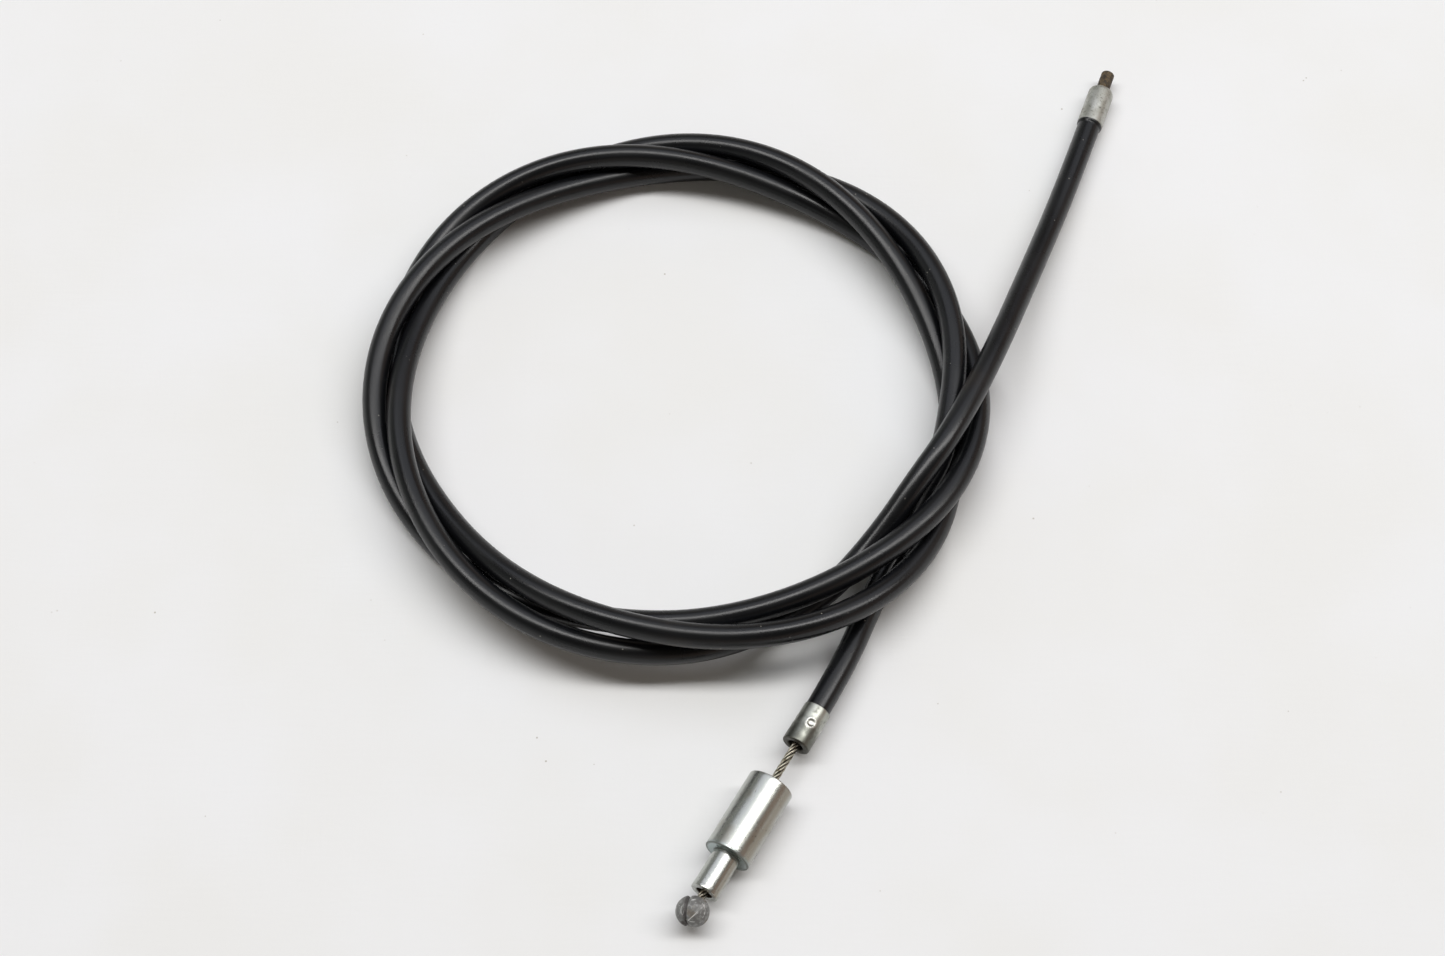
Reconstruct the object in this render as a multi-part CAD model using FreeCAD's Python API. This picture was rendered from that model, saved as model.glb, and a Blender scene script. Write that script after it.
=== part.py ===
import FreeCAD, Part
import math
import os

# A long pull cable in its casing, coiled three times and laid on a table.
# Lower end: crimped ferrule, bare wire, a sliding stepped bush and a ball nipple.
# Upper end: crimped ferrule and a barrel nipple.
# Millimetres, +Z up, the table is z = 0, +Y leads away from the viewer.
# The origin is under the middle of the metal fittings' box.

V = FreeCAD.Vector

# Casing: a plastic jacket over a wound steel conduit with a plastic liner
CASING_DIAMETER = 5.4
CONDUIT_WALL = 0.75
LINER_WALL = 0.22
LINER_CLEARANCE = 0.1
SEAT_CLEARANCE = 0.03

# Inner wire and its travel through the casing
WIRE_DIAMETER = 1.7
WIRE_TRAVEL = 12.0
LOWER_STUB_REST = 4.5
UPPER_STUB_PULLED = 3.5
STUB_SPARE = 0.5

# Ferrules: cups crimped over the ends of the casing
FERRULE_GRIP = 0.15
LOWER_FERRULE_LENGTH = 9.4
LOWER_FERRULE_WALL = 0.4
LOWER_FERRULE_SWELL = 0.12
LOWER_FERRULE_FLOOR = 1.0
LOWER_HOLE_CLEARANCE = 0.85
LOWER_MOUTH_CHAMFER = 0.35
UPPER_FERRULE_LENGTH = 10.9
UPPER_FERRULE_WALL = 0.45
UPPER_FERRULE_FLOOR = 1.5
UPPER_SHOULDER = 1.1
RIM_CHAMFER = 0.12
CRIMP_COUNT = 4
CRIMP_TURN = 16.0
CRIMP_FROM_RIM = 4.3
CRIMP_BALL_RADIUS = 1.2
CRIMP_DEPTH = 0.3
LIP_LENGTH = 0.8
LIP_HEIGHT = 0.3

# Barrel nipple on the upper end of the wire
BARREL_DIAMETER = 3.2
BARREL_LENGTH = 6.3
BARREL_SUNK = 0.8
BARREL_EDGE = 0.25
BARREL_CLEARANCE = 0.3
WIRE_RECESS = 0.3

# Stop bush on the bare wire of the lower end
BUSH_DIAMETER = 10.0
BUSH_LENGTH = 18.2
BUSH_EDGE = 0.25
SPIGOT_DIAMETER = 5.9
SPIGOT_LENGTH = 9.2
SPIGOT_WALL = 0.6
SPIGOT_LIP_DEPTH = 0.8
SPIGOT_LIP_INWARD = 0.55
SPIGOT_BEAD = 0.08
SPIGOT_BEAD_LENGTH = 0.9
UNDERCUT_DEPTH = 0.12
UNDERCUT_LENGTH = 0.4
SOCKET_CLEARANCE = 0.15
SOCKET_DEPTH = 12.0
WEB_LENGTH = 2.0
WIRE_RUNNING_CLEARANCE = 0.1
BUSH_FROM_MOUTH = 10.15

# Ball nipple on the lower end of the wire: two lobes with a groove between them
BALL_GAP = 1.25
BALL_LOBE_RADIUS = 3.2
BALL_LOBE_SHIFT = 0.3
GROOVE_FROM_CENTRE = 0.7
GROOVE_HALF_WIDTH = 0.45
GROOVE_DEPTH = 0.6
BALL_LEAN = 19.0
BALL_TURN = 15.0
BALL_PIT_CLEARANCE = 0.1
BALL_PIT_DEPTH = 0.55
BALL_WIRE_RECESS = 0.8

# Where the two ends lie: the middle of each ferrule's mouth, and its bearing from +Y
LOWER_MOUTH_X, LOWER_MOUTH_Y = -27.45, -69.5
UPPER_MOUTH_X, UPPER_MOUTH_Y = 48.82, 103.38
LOWER_BEARING = 30.2
UPPER_BEARING = 19.9

# Coil: three strands that plait round a slightly oval ring
RING_X, RING_Y = -53.23, 17.98
RING_RADIUS = 63.25
RING_OVAL = 0.55
OVAL_BEARING = -22.3
COIL_START = -5.0
COIL_END = 1012.0
COIL_SPANS = 32
PLAIT_GAP = 0.66
COIL_CLEARANCE = 0.22
WEAVES_PER_TURN = 7 / 3
PLAIT_LEAD = -98.0
PLAIT_SWING = 15.3
SWING_BEARING = 13.4

# Places where a strand is pushed aside or lifted: middle, half width, outward and upward
SHIFTS = (
    (670.0, 44.0, 3.0, 0.0),
    (664.0, 34.0, 0.0, 4.2),
    (314.0, 46.0, 0.0, 1.2),
    (342.0, 38.0, 0.9, 0.0),
    (1032.0, 44.0, -1.9, 0.0),
)

# Route of each tail between the coil and its ferrule, chosen by eye
LOWER_STRAIGHT = 20.0
LOWER_ROUTE = (V(-10.4, -34.4, 2.7), V(-4.0, -20.9, 2.7), V(0.7, -10.5, 5.8))
LOWER_LEAD = 14.0
UPPER_STRAIGHT = 29.0
UPPER_ROUTE = (
    V(-14.6, -27.2, 4.2),
    V(-6.9, -18.9, 8.5),
    V(-0.6, -10.7, 12.9),
    V(7.0, -0.1, 14.9),
    V(16.7, 19.6, 13.0),
    V(28.4, 49.2, 6.8),
)
UPPER_LEAD = 10.0
BEND_SHARE = 0.45

# Values worked out from the ones above
CASING_RADIUS = CASING_DIAMETER / 2
WIRE_RADIUS = WIRE_DIAMETER / 2
LINER_BORE = WIRE_RADIUS + LINER_CLEARANCE
LINER_RADIUS = LINER_BORE + LINER_WALL
CONDUIT_BORE = LINER_RADIUS + SEAT_CLEARANCE
CONDUIT_RADIUS = CONDUIT_BORE + CONDUIT_WALL
GRIPPED_RADIUS = CASING_RADIUS - FERRULE_GRIP
FERRULE_BORE = GRIPPED_RADIUS + SEAT_CLEARANCE
LOWER_FERRULE_RADIUS = FERRULE_BORE + LOWER_FERRULE_WALL
UPPER_FERRULE_RADIUS = FERRULE_BORE + UPPER_FERRULE_WALL
LOWER_BORE_DEPTH = LOWER_STUB_REST + WIRE_TRAVEL + STUB_SPARE
UPPER_STUB_REST = UPPER_STUB_PULLED + WIRE_TRAVEL
UPPER_BORE_DEPTH = UPPER_STUB_REST + STUB_SPARE
BUSH_END = BUSH_FROM_MOUTH + BUSH_LENGTH
SPIGOT_END = BUSH_END + SPIGOT_LENGTH
BALL_CENTRE = SPIGOT_END + BALL_GAP + BALL_LOBE_RADIUS
PLAIT_REACH = (CASING_DIAMETER + PLAIT_GAP) / math.sqrt(3)
PLAIT_MIDDLE = CASING_RADIUS + PLAIT_REACH + COIL_CLEARANCE
LOWER_MOUTH = V(LOWER_MOUTH_X, LOWER_MOUTH_Y, BUSH_DIAMETER / 2)
UPPER_MOUTH = V(UPPER_MOUTH_X, UPPER_MOUTH_Y, UPPER_FERRULE_RADIUS)


def outward(bearing, side):
    """Level unit vector at a bearing from +Y, or from -Y where side is -1."""
    angle = math.radians(bearing)
    return V(side * math.sin(angle), side * math.cos(angle), 0)


def end_placement(mouth, axis):
    """Placement whose local +Z is the wire's way out and whose local +Y is up."""
    up = V(0, 0, 1)
    turn = FreeCAD.Rotation(up.cross(axis), up, axis, "ZYX")
    return FreeCAD.Placement(mouth, turn)


def lathe(points):
    """Solid of revolution about local Z from (radius, height) points, closed by itself."""
    corners = [V(radius, 0, height) for radius, height in points]
    wire = Part.makePolygon(corners + corners[:1])
    return Part.Face(wire).revolve(V(0, 0, 0), V(0, 0, 1), 360)


def rod(radius, start, end):
    """Cylinder about local Z between two heights."""
    return Part.makeCylinder(radius, end - start, V(0, 0, start))


def tube(outer, inner, start, end):
    """Hollow cylinder about local Z between two heights."""
    return rod(outer, start, end).cut(rod(inner, start, end))


# Ferrules

def make_lower_ferrule():
    """Cup that swells towards its mouth, with round crimp marks near its rim."""
    rim = -LOWER_FERRULE_LENGTH
    mouth_radius = LOWER_FERRULE_RADIUS + LOWER_FERRULE_SWELL
    hole = WIRE_RADIUS + LOWER_HOLE_CLEARANCE
    cup = lathe((
        (FERRULE_BORE, rim),
        (LOWER_FERRULE_RADIUS - RIM_CHAMFER, rim),
        (LOWER_FERRULE_RADIUS, rim + RIM_CHAMFER),
        (mouth_radius, -LOWER_MOUTH_CHAMFER),
        (mouth_radius - LOWER_MOUTH_CHAMFER, 0),
        (hole + LOWER_MOUTH_CHAMFER, 0),
        (hole, -LOWER_MOUTH_CHAMFER),
        (hole, -LOWER_FERRULE_FLOOR),
        (FERRULE_BORE, -LOWER_FERRULE_FLOOR),
    ))
    for number in range(CRIMP_COUNT):
        angle = math.radians(90 - CRIMP_TURN - number * 360 / CRIMP_COUNT)
        reach = LOWER_FERRULE_RADIUS + CRIMP_BALL_RADIUS - CRIMP_DEPTH
        centre = V(reach * math.cos(angle), reach * math.sin(angle), rim + CRIMP_FROM_RIM)
        cup = cup.cut(Part.makeSphere(CRIMP_BALL_RADIUS, centre))
    return cup


def make_upper_ferrule():
    """Deeper cup with a rounded shoulder round its hole."""
    rim = -UPPER_FERRULE_LENGTH
    outer = UPPER_FERRULE_RADIUS
    hole = BARREL_DIAMETER / 2 + BARREL_CLEARANCE
    slant = UPPER_SHOULDER * math.sqrt(0.5)
    shoulder = Part.Arc(
        V(outer, 0, -UPPER_SHOULDER),
        V(outer - UPPER_SHOULDER + slant, 0, -UPPER_SHOULDER + slant),
        V(outer - UPPER_SHOULDER, 0, 0),
    ).toShape()
    line = Part.makePolygon([
        V(outer - UPPER_SHOULDER, 0, 0),
        V(hole, 0, 0),
        V(hole, 0, -UPPER_FERRULE_FLOOR),
        V(FERRULE_BORE, 0, -UPPER_FERRULE_FLOOR),
        V(FERRULE_BORE, 0, rim),
        V(outer - RIM_CHAMFER, 0, rim),
        V(outer, 0, rim + RIM_CHAMFER),
        V(outer, 0, -UPPER_SHOULDER),
    ])
    outline = Part.Wire([shoulder] + line.Edges)
    return Part.Face(outline).revolve(V(0, 0, 0), V(0, 0, 1), 360)


# Inner wire, nipples and bush

def make_lower_wire():
    """Bare wire from inside the casing to the far side of the ball."""
    return rod(WIRE_RADIUS, -LOWER_STUB_REST, BALL_CENTRE + BALL_LOBE_RADIUS - BALL_WIRE_RECESS)


def make_upper_wire():
    """Wire from inside the casing to just short of the barrel nipple's end."""
    end = BARREL_LENGTH - BARREL_SUNK - WIRE_RECESS
    return rod(WIRE_RADIUS, -UPPER_STUB_REST, end)


def make_barrel_nipple():
    """Plain barrel with broken edges and a bore for the wire."""
    start = -BARREL_SUNK
    end = start + BARREL_LENGTH
    outer = BARREL_DIAMETER / 2
    bore = WIRE_RADIUS + SEAT_CLEARANCE
    return lathe((
        (bore, start),
        (outer - BARREL_EDGE, start),
        (outer, start + BARREL_EDGE),
        (outer, end - BARREL_EDGE),
        (outer - BARREL_EDGE, end),
        (bore + BARREL_EDGE, end),
        (bore, end - BARREL_EDGE),
    ))


def lobe_arc(shift, start_along, end_along):
    """Arc of a lobe about the ball's own axis, between two places along it."""
    middle = (start_along + end_along) / 2

    def on_lobe(along):
        height = math.sqrt(max(BALL_LOBE_RADIUS ** 2 - (along - shift) ** 2, 0))
        return V(height, 0, along)

    return Part.Arc(on_lobe(start_along), on_lobe(middle), on_lobe(end_along)).toShape()


def make_ball_nipple():
    """Two unequal lobes turned about an axis that leans BALL_LEAN from square to the wire, bored for the wire."""
    far = BALL_LOBE_SHIFT + BALL_LOBE_RADIUS
    near_edge = -GROOVE_FROM_CENTRE + GROOVE_HALF_WIDTH
    far_edge = -GROOVE_FROM_CENTRE - GROOVE_HALF_WIDTH
    big = lobe_arc(BALL_LOBE_SHIFT, far, near_edge)
    small = lobe_arc(-BALL_LOBE_SHIFT, far_edge, -far)
    groove_start = big.Vertexes[-1].Point
    groove_end = small.Vertexes[0].Point
    bottom = V(min(groove_start.x, groove_end.x) - GROOVE_DEPTH, 0, -GROOVE_FROM_CENTRE)
    side = Part.makePolygon([groove_start, bottom, groove_end])
    closing = Part.makeLine(V(0, 0, -far), V(0, 0, far))
    outline = Part.Wire([big] + side.Edges + [small, closing])
    ball = Part.Face(outline).revolve(V(0, 0, 0), V(0, 0, 1), 360)
    ball.rotate(V(0, 0, 0), V(0, 1, 0), 90 + BALL_LEAN)
    ball.rotate(V(0, 0, 0), V(0, 0, 1), BALL_TURN)
    ball.translate(V(0, 0, BALL_CENTRE))
    bore = rod(WIRE_RADIUS + SEAT_CLEARANCE, BALL_CENTRE - far, BALL_CENTRE + far)
    pit = rod(WIRE_RADIUS + BALL_PIT_CLEARANCE, BALL_CENTRE + BALL_LOBE_RADIUS - BALL_PIT_DEPTH, BALL_CENTRE + far)
    return ball.cut(bore).cut(pit)


def make_stop_bush():
    """Stepped bush: a socket for the ferrule, a web on the wire and a hollow spigot."""
    outer = BUSH_DIAMETER / 2
    spigot = SPIGOT_DIAMETER / 2
    neck = spigot - UNDERCUT_DEPTH
    bead = spigot + SPIGOT_BEAD
    hollow = spigot - SPIGOT_WALL
    lip = hollow - SPIGOT_LIP_INWARD
    socket = LOWER_FERRULE_RADIUS + LOWER_FERRULE_SWELL + SOCKET_CLEARANCE
    guide = WIRE_RADIUS + WIRE_RUNNING_CLEARANCE
    top = BUSH_FROM_MOUTH
    socket_floor = top + SOCKET_DEPTH
    web_end = socket_floor + WEB_LENGTH
    bead_start = SPIGOT_END - SPIGOT_BEAD_LENGTH
    return lathe((
        (socket + BUSH_EDGE, top),
        (outer - BUSH_EDGE, top),
        (outer, top + BUSH_EDGE),
        (outer, BUSH_END - BUSH_EDGE),
        (outer - BUSH_EDGE, BUSH_END),
        (neck, BUSH_END),
        (neck, BUSH_END + UNDERCUT_LENGTH),
        (spigot, BUSH_END + UNDERCUT_LENGTH + UNDERCUT_DEPTH),
        (spigot, bead_start),
        (bead, bead_start + SPIGOT_BEAD),
        (bead, SPIGOT_END - BUSH_EDGE),
        (bead - BUSH_EDGE, SPIGOT_END),
        (lip + SPIGOT_BEAD, SPIGOT_END),
        (lip, SPIGOT_END - SPIGOT_BEAD),
        (lip, SPIGOT_END - SPIGOT_LIP_DEPTH),
        (hollow, SPIGOT_END - SPIGOT_LIP_DEPTH),
        (hollow, web_end),
        (guide, web_end),
        (guide, socket_floor),
        (socket, socket_floor),
        (socket, top + BUSH_EDGE),
    ))


# Centre lines

def shift_at(degrees):
    """How far a strand is pushed outward and upward at a place along the coil."""
    out, lift = 0.0, 0.0
    for middle, half_width, most_out, most_up in SHIFTS:
        share = abs(degrees - middle) / half_width
        if share < 1:
            weight = (1 + math.cos(math.pi * share)) / 2
            out += most_out * weight
            lift += most_up * weight
    return out, lift


def coil_point(degrees):
    """Point of the coil's centre line; a strand that moves outward lies on top."""
    angle = math.radians(degrees)
    swing = PLAIT_SWING * math.cos(math.radians(degrees - SWING_BEARING))
    phase = math.radians(WEAVES_PER_TURN * degrees + PLAIT_LEAD - swing)
    oval = RING_OVAL * math.cos(2 * math.radians(degrees - OVAL_BEARING))
    out, lift = shift_at(degrees)
    radius = RING_RADIUS + oval + PLAIT_REACH * math.cos(phase) + out
    height = PLAIT_MIDDLE - PLAIT_REACH * math.sin(phase) + lift
    return V(RING_X + radius * math.cos(angle), RING_Y + radius * math.sin(angle), height)


def coil_way(degrees):
    """Unit vector along the coil's centre line."""
    way = coil_point(degrees + 0.5) - coil_point(degrees - 0.5)
    return way.normalize()


def arc_from(start, way, end):
    """Arc from a point, leaving it along a unit vector, to another point."""
    chord = end - start
    along = V(chord).normalize()
    bulge = way - along * way.dot(along)
    half_turn = math.acos(max(-1.0, min(1.0, way.dot(along))))
    if half_turn < 1e-4:
        return Part.makeLine(start, end)
    rise = chord.Length / 2 * math.tan(half_turn / 2)
    return Part.Arc(start, start + chord * 0.5 + bulge.normalize() * rise, end).toShape()


def biarc(start, start_way, end, end_way):
    """Two arcs that join two points and leave and reach them along the given ways."""
    chord = end - start
    ways = start_way + end_way
    spread = 2 * (1 - start_way.dot(end_way))
    reach = chord.dot(ways)
    if spread < 1e-9:
        length = chord.dot(chord) / (2 * reach)
    else:
        length = (math.sqrt(reach ** 2 + spread * chord.dot(chord)) - reach) / spread
    joint = (start + start_way * length + end - end_way * length) * 0.5
    joint_way = (end - end_way * length - start - start_way * length).normalize()
    return [arc_from(start, start_way, joint), arc_from(joint, joint_way, end)]


def coil_edges():
    """Centre line of the coil: biarcs between two straight ends of one diameter."""
    first = coil_point(COIL_START)
    last = coil_point(COIL_END)
    first_way = coil_way(COIL_START)
    last_way = coil_way(COIL_END)
    step = (COIL_END - COIL_START) / COIL_SPANS
    places = [(first + first_way * CASING_DIAMETER, first_way)]
    for number in range(1, COIL_SPANS):
        degrees = COIL_START + number * step
        places.append((coil_point(degrees), coil_way(degrees)))
    places.append((last - last_way * CASING_DIAMETER, last_way))
    edges = [Part.makeLine(first, places[0][0])]
    for (start, start_way), (end, end_way) in zip(places, places[1:]):
        edges += biarc(start, start_way, end, end_way)
    edges.append(Part.makeLine(places[-1][0], last))
    return edges


def rounded_edges(points, name):
    """Straight runs joined by the largest tangent arcs their lengths allow."""
    edges, radii = [], []
    here = points[0]
    for before, corner, after in zip(points, points[1:], points[2:]):
        way_in = (corner - before).normalize()
        way_out = (after - corner).normalize()
        reach = BEND_SHARE * min((corner - before).Length, (after - corner).Length)
        half_turn = way_in.getAngle(way_out) / 2
        radii.append(reach / math.tan(half_turn))
        arc_start = corner - way_in * reach
        arc_end = corner + way_out * reach
        edges.append(Part.LineSegment(here, arc_start).toShape())
        edges.append(arc_from(arc_start, way_in, arc_end))
        here = arc_end
    edges.append(Part.LineSegment(here, points[-1]).toShape())
    print(name, "bend radii", ", ".join(f"{radius:.0f}" for radius in radii))
    return edges


def lower_edges():
    """Centre line of the lower tail, from its ferrule to the start of the coil."""
    back = outward(LOWER_BEARING, 1)
    start = LOWER_MOUTH + back * LOWER_FERRULE_FLOOR
    straight = LOWER_MOUTH + back * LOWER_STRAIGHT
    end = coil_point(COIL_START)
    lead = end - coil_way(COIL_START) * LOWER_LEAD
    return rounded_edges([start, straight, *LOWER_ROUTE, lead, end], "lower tail")


def upper_edges():
    """Centre line of the upper tail, from the end of the coil to its ferrule."""
    back = outward(UPPER_BEARING, -1)
    start = coil_point(COIL_END)
    lead = start + coil_way(COIL_END) * UPPER_LEAD
    straight = UPPER_MOUTH + back * UPPER_STRAIGHT
    end = UPPER_MOUTH + back * UPPER_FERRULE_FLOOR
    return rounded_edges([start, lead, *UPPER_ROUTE, straight, end], "upper tail")


# Casing

def sweep(edges, name):
    """Round casing along a centre line, with its volume set beside section times length."""
    wire = Part.Wire(edges)
    first = edges[0]
    start = first.valueAt(first.FirstParameter)
    way = first.tangentAt(first.FirstParameter)
    section = Part.Wire([Part.makeCircle(CASING_RADIUS, start, way)])
    solid = wire.makePipeShell([section], True, False)
    expected = math.pi * CASING_RADIUS ** 2 * wire.Length
    print(f"{name} length {wire.Length:.1f} volume over section times length {solid.Volume / expected:.4f}")
    return solid


def least_gap(groups):
    """Least gap between stretches of the casing that aren't neighbours along it."""
    spacing = 0.75
    points = []
    for edges in groups:
        for edge in edges:
            count = max(2, math.ceil(edge.Length / spacing) + 1)
            points += edge.discretize(Number=count)[1:]
    skip = math.ceil(4 * CASING_DIAMETER / spacing)
    least = math.inf
    for number, point in enumerate(points):
        for other in points[number + skip:]:
            if abs(point.x - other.x) < 2 * CASING_DIAMETER and abs(point.y - other.y) < 2 * CASING_DIAMETER:
                least = min(least, point.distanceToPoint(other))
    return least - CASING_DIAMETER


def gripped_end(tail, placement, ferrule_length, floor, bore_depth):
    """Necks a tail where its ferrule grips it and bores it for the conduit."""
    collar = tube(CASING_DIAMETER, GRIPPED_RADIUS, -ferrule_length, 0)
    bore = rod(CONDUIT_RADIUS + SEAT_CLEARANCE, -bore_depth, -floor + 1)
    collar.Placement = placement
    bore.Placement = placement
    return tail.cut(collar).cut(bore)


def make_upper_lip(placement):
    """Jacket pushed up into a low lip against the rim of the upper ferrule."""
    start = -UPPER_FERRULE_LENGTH - LIP_LENGTH
    top = CASING_RADIUS + LIP_HEIGHT
    inner = CASING_RADIUS - LIP_HEIGHT
    lip = lathe((
        (inner, start),
        (CASING_RADIUS, start),
        (top, start + LIP_LENGTH / 2),
        (top, -UPPER_FERRULE_LENGTH),
        (inner, -UPPER_FERRULE_LENGTH),
    ))
    lip.Placement = placement
    return lip


def build():
    """All pieces in the part's frame, by node name."""
    lower_place = end_placement(LOWER_MOUTH, outward(LOWER_BEARING, -1))
    upper_place = end_placement(UPPER_MOUTH, outward(UPPER_BEARING, 1))
    lower_line, coil_line, upper_line = lower_edges(), coil_edges(), upper_edges()
    print(f"least gap of the casing to itself {least_gap((lower_line, coil_line, upper_line)):.2f}")

    lower_tail = gripped_end(sweep(lower_line, "lower tail"), lower_place,
                             LOWER_FERRULE_LENGTH, LOWER_FERRULE_FLOOR, LOWER_BORE_DEPTH)
    upper_tail = gripped_end(sweep(upper_line, "upper tail").fuse(make_upper_lip(upper_place)), upper_place,
                             UPPER_FERRULE_LENGTH, UPPER_FERRULE_FLOOR, UPPER_BORE_DEPTH)
    nodes = {
        "casing_lower_tail": lower_tail,
        "casing_coil": sweep(coil_line, "coil"),
        "casing_upper_tail": upper_tail,
    }
    conduit = (CONDUIT_RADIUS, CONDUIT_BORE)
    liner = (LINER_RADIUS, LINER_BORE)
    lower_pieces = {
        "lower_ferrule": make_lower_ferrule(),
        "lower_conduit": tube(*conduit, -LOWER_BORE_DEPTH, -LOWER_FERRULE_FLOOR),
        "lower_liner": tube(*liner, -LOWER_BORE_DEPTH, -LOWER_FERRULE_FLOOR),
        "lower_wire": make_lower_wire(),
        "stop_bush": make_stop_bush(),
        "ball_nipple": make_ball_nipple(),
    }
    upper_pieces = {
        "upper_ferrule": make_upper_ferrule(),
        "upper_conduit": tube(*conduit, -UPPER_BORE_DEPTH, -UPPER_FERRULE_FLOOR),
        "upper_liner": tube(*liner, -UPPER_BORE_DEPTH, -UPPER_FERRULE_FLOOR),
        "upper_wire": make_upper_wire(),
        "barrel_nipple": make_barrel_nipple(),
    }
    for pieces, placement in ((lower_pieces, lower_place), (upper_pieces, upper_place)):
        for name, shape in pieces.items():
            shape.Placement = placement.multiply(shape.Placement)
            nodes[name] = shape
    return nodes


os.makedirs("parts", exist_ok=True)
for node, shape in build().items():
    shape = shape.removeSplitter()
    solid = shape.Solids[0]
    print(f"{node}: solids {len(shape.Solids)}, valid {solid.isValid()}, volume {solid.Volume:.1f}")
    solid.exportStep(f"parts/{node}.step")
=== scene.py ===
import logging
import math
from collections.abc import Callable, Sequence
from dataclasses import dataclass, field
from enum import Enum

import bmesh
import bpy
from mathutils import Matrix, Vector, noise


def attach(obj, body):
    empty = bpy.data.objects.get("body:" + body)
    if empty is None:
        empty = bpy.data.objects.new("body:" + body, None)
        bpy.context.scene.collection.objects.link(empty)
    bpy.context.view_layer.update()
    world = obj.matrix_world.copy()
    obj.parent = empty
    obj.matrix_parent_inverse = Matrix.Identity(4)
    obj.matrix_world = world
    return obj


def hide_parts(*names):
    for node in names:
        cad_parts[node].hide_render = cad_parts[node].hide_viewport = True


# Looks of a long pull cable in its casing, coiled three times and laid on a table.
# Sizes are millimetres until a mesh or curve is made, and metres in Blender.
# A fitting's own frame has +Z along the wire's way out of the casing and +Y up.

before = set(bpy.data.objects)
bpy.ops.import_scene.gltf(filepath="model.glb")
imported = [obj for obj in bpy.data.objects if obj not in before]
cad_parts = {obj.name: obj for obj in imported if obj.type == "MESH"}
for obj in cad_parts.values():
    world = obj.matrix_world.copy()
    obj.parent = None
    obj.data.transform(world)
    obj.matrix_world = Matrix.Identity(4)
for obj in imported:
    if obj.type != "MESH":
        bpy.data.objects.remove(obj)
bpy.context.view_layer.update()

LOG = logging.getLogger("pull_cable")
MM = 0.001
SHORTEST = 1e-9
WELD_METRES = 1e-6

# Inputs of a Mix node that mixes colours.
FACTOR, FIRST, SECOND = 0, 6, 7

Range = tuple[float, float]
Place = tuple[float, float, float]


class Body(Enum):
    """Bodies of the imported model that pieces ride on."""

    CASING = "casing"
    LOWER_WIRE = "lower_wire"
    STOP_BUSH = "stop_bush"
    UPPER_WIRE = "upper_wire"


class Slot(Enum):
    """Material slots of the record."""

    JACKET = "jacket"
    CONDUIT = "conduit"
    LINER = "liner"
    INNER_WIRE = "inner_wire"
    LOWER_FERRULE = "lower_ferrule"
    BUSH = "bush"
    BALL = "ball"
    UPPER_FERRULE = "upper_ferrule"
    BARREL = "barrel"


# Colour and shader nodes


def linear(code: str) -> tuple[float, float, float, float]:
    """Turns an sRGB hex colour into linear red, green, blue and alpha.

    Args:
        code: Colour such as "#c8c8c8".

    Returns:
        Linear components, with alpha 1.
    """
    parts = [int(code[start:start + 2], 16) / 255 for start in (1, 3, 5)]
    low, gain, offset, power = 0.04045, 12.92, 0.055, 2.4
    levels = [part / gain if part <= low else ((part + offset) / (1 + offset)) ** power for part in parts]
    return (*levels, 1.0)


def add_node(tree: bpy.types.NodeTree, kind: str, inputs: dict | None = None,
             **settings: object) -> bpy.types.Node:
    """Adds a node, with its settings, values and links.

    Args:
        tree: Node tree that gets the node.
        kind: Node type without its ShaderNode prefix.
        inputs: Input name or number, and the value or output socket for it.
        settings: Attributes of the node.

    Returns:
        The new node.
    """
    node = tree.nodes.new("ShaderNode" + kind)
    for name, value in settings.items():
        setattr(node, name, value)
    for key, value in (inputs or {}).items():
        if isinstance(value, bpy.types.NodeSocket):
            tree.links.new(value, node.inputs[key])
        else:
            node.inputs[key].default_value = value
    return node


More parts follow.
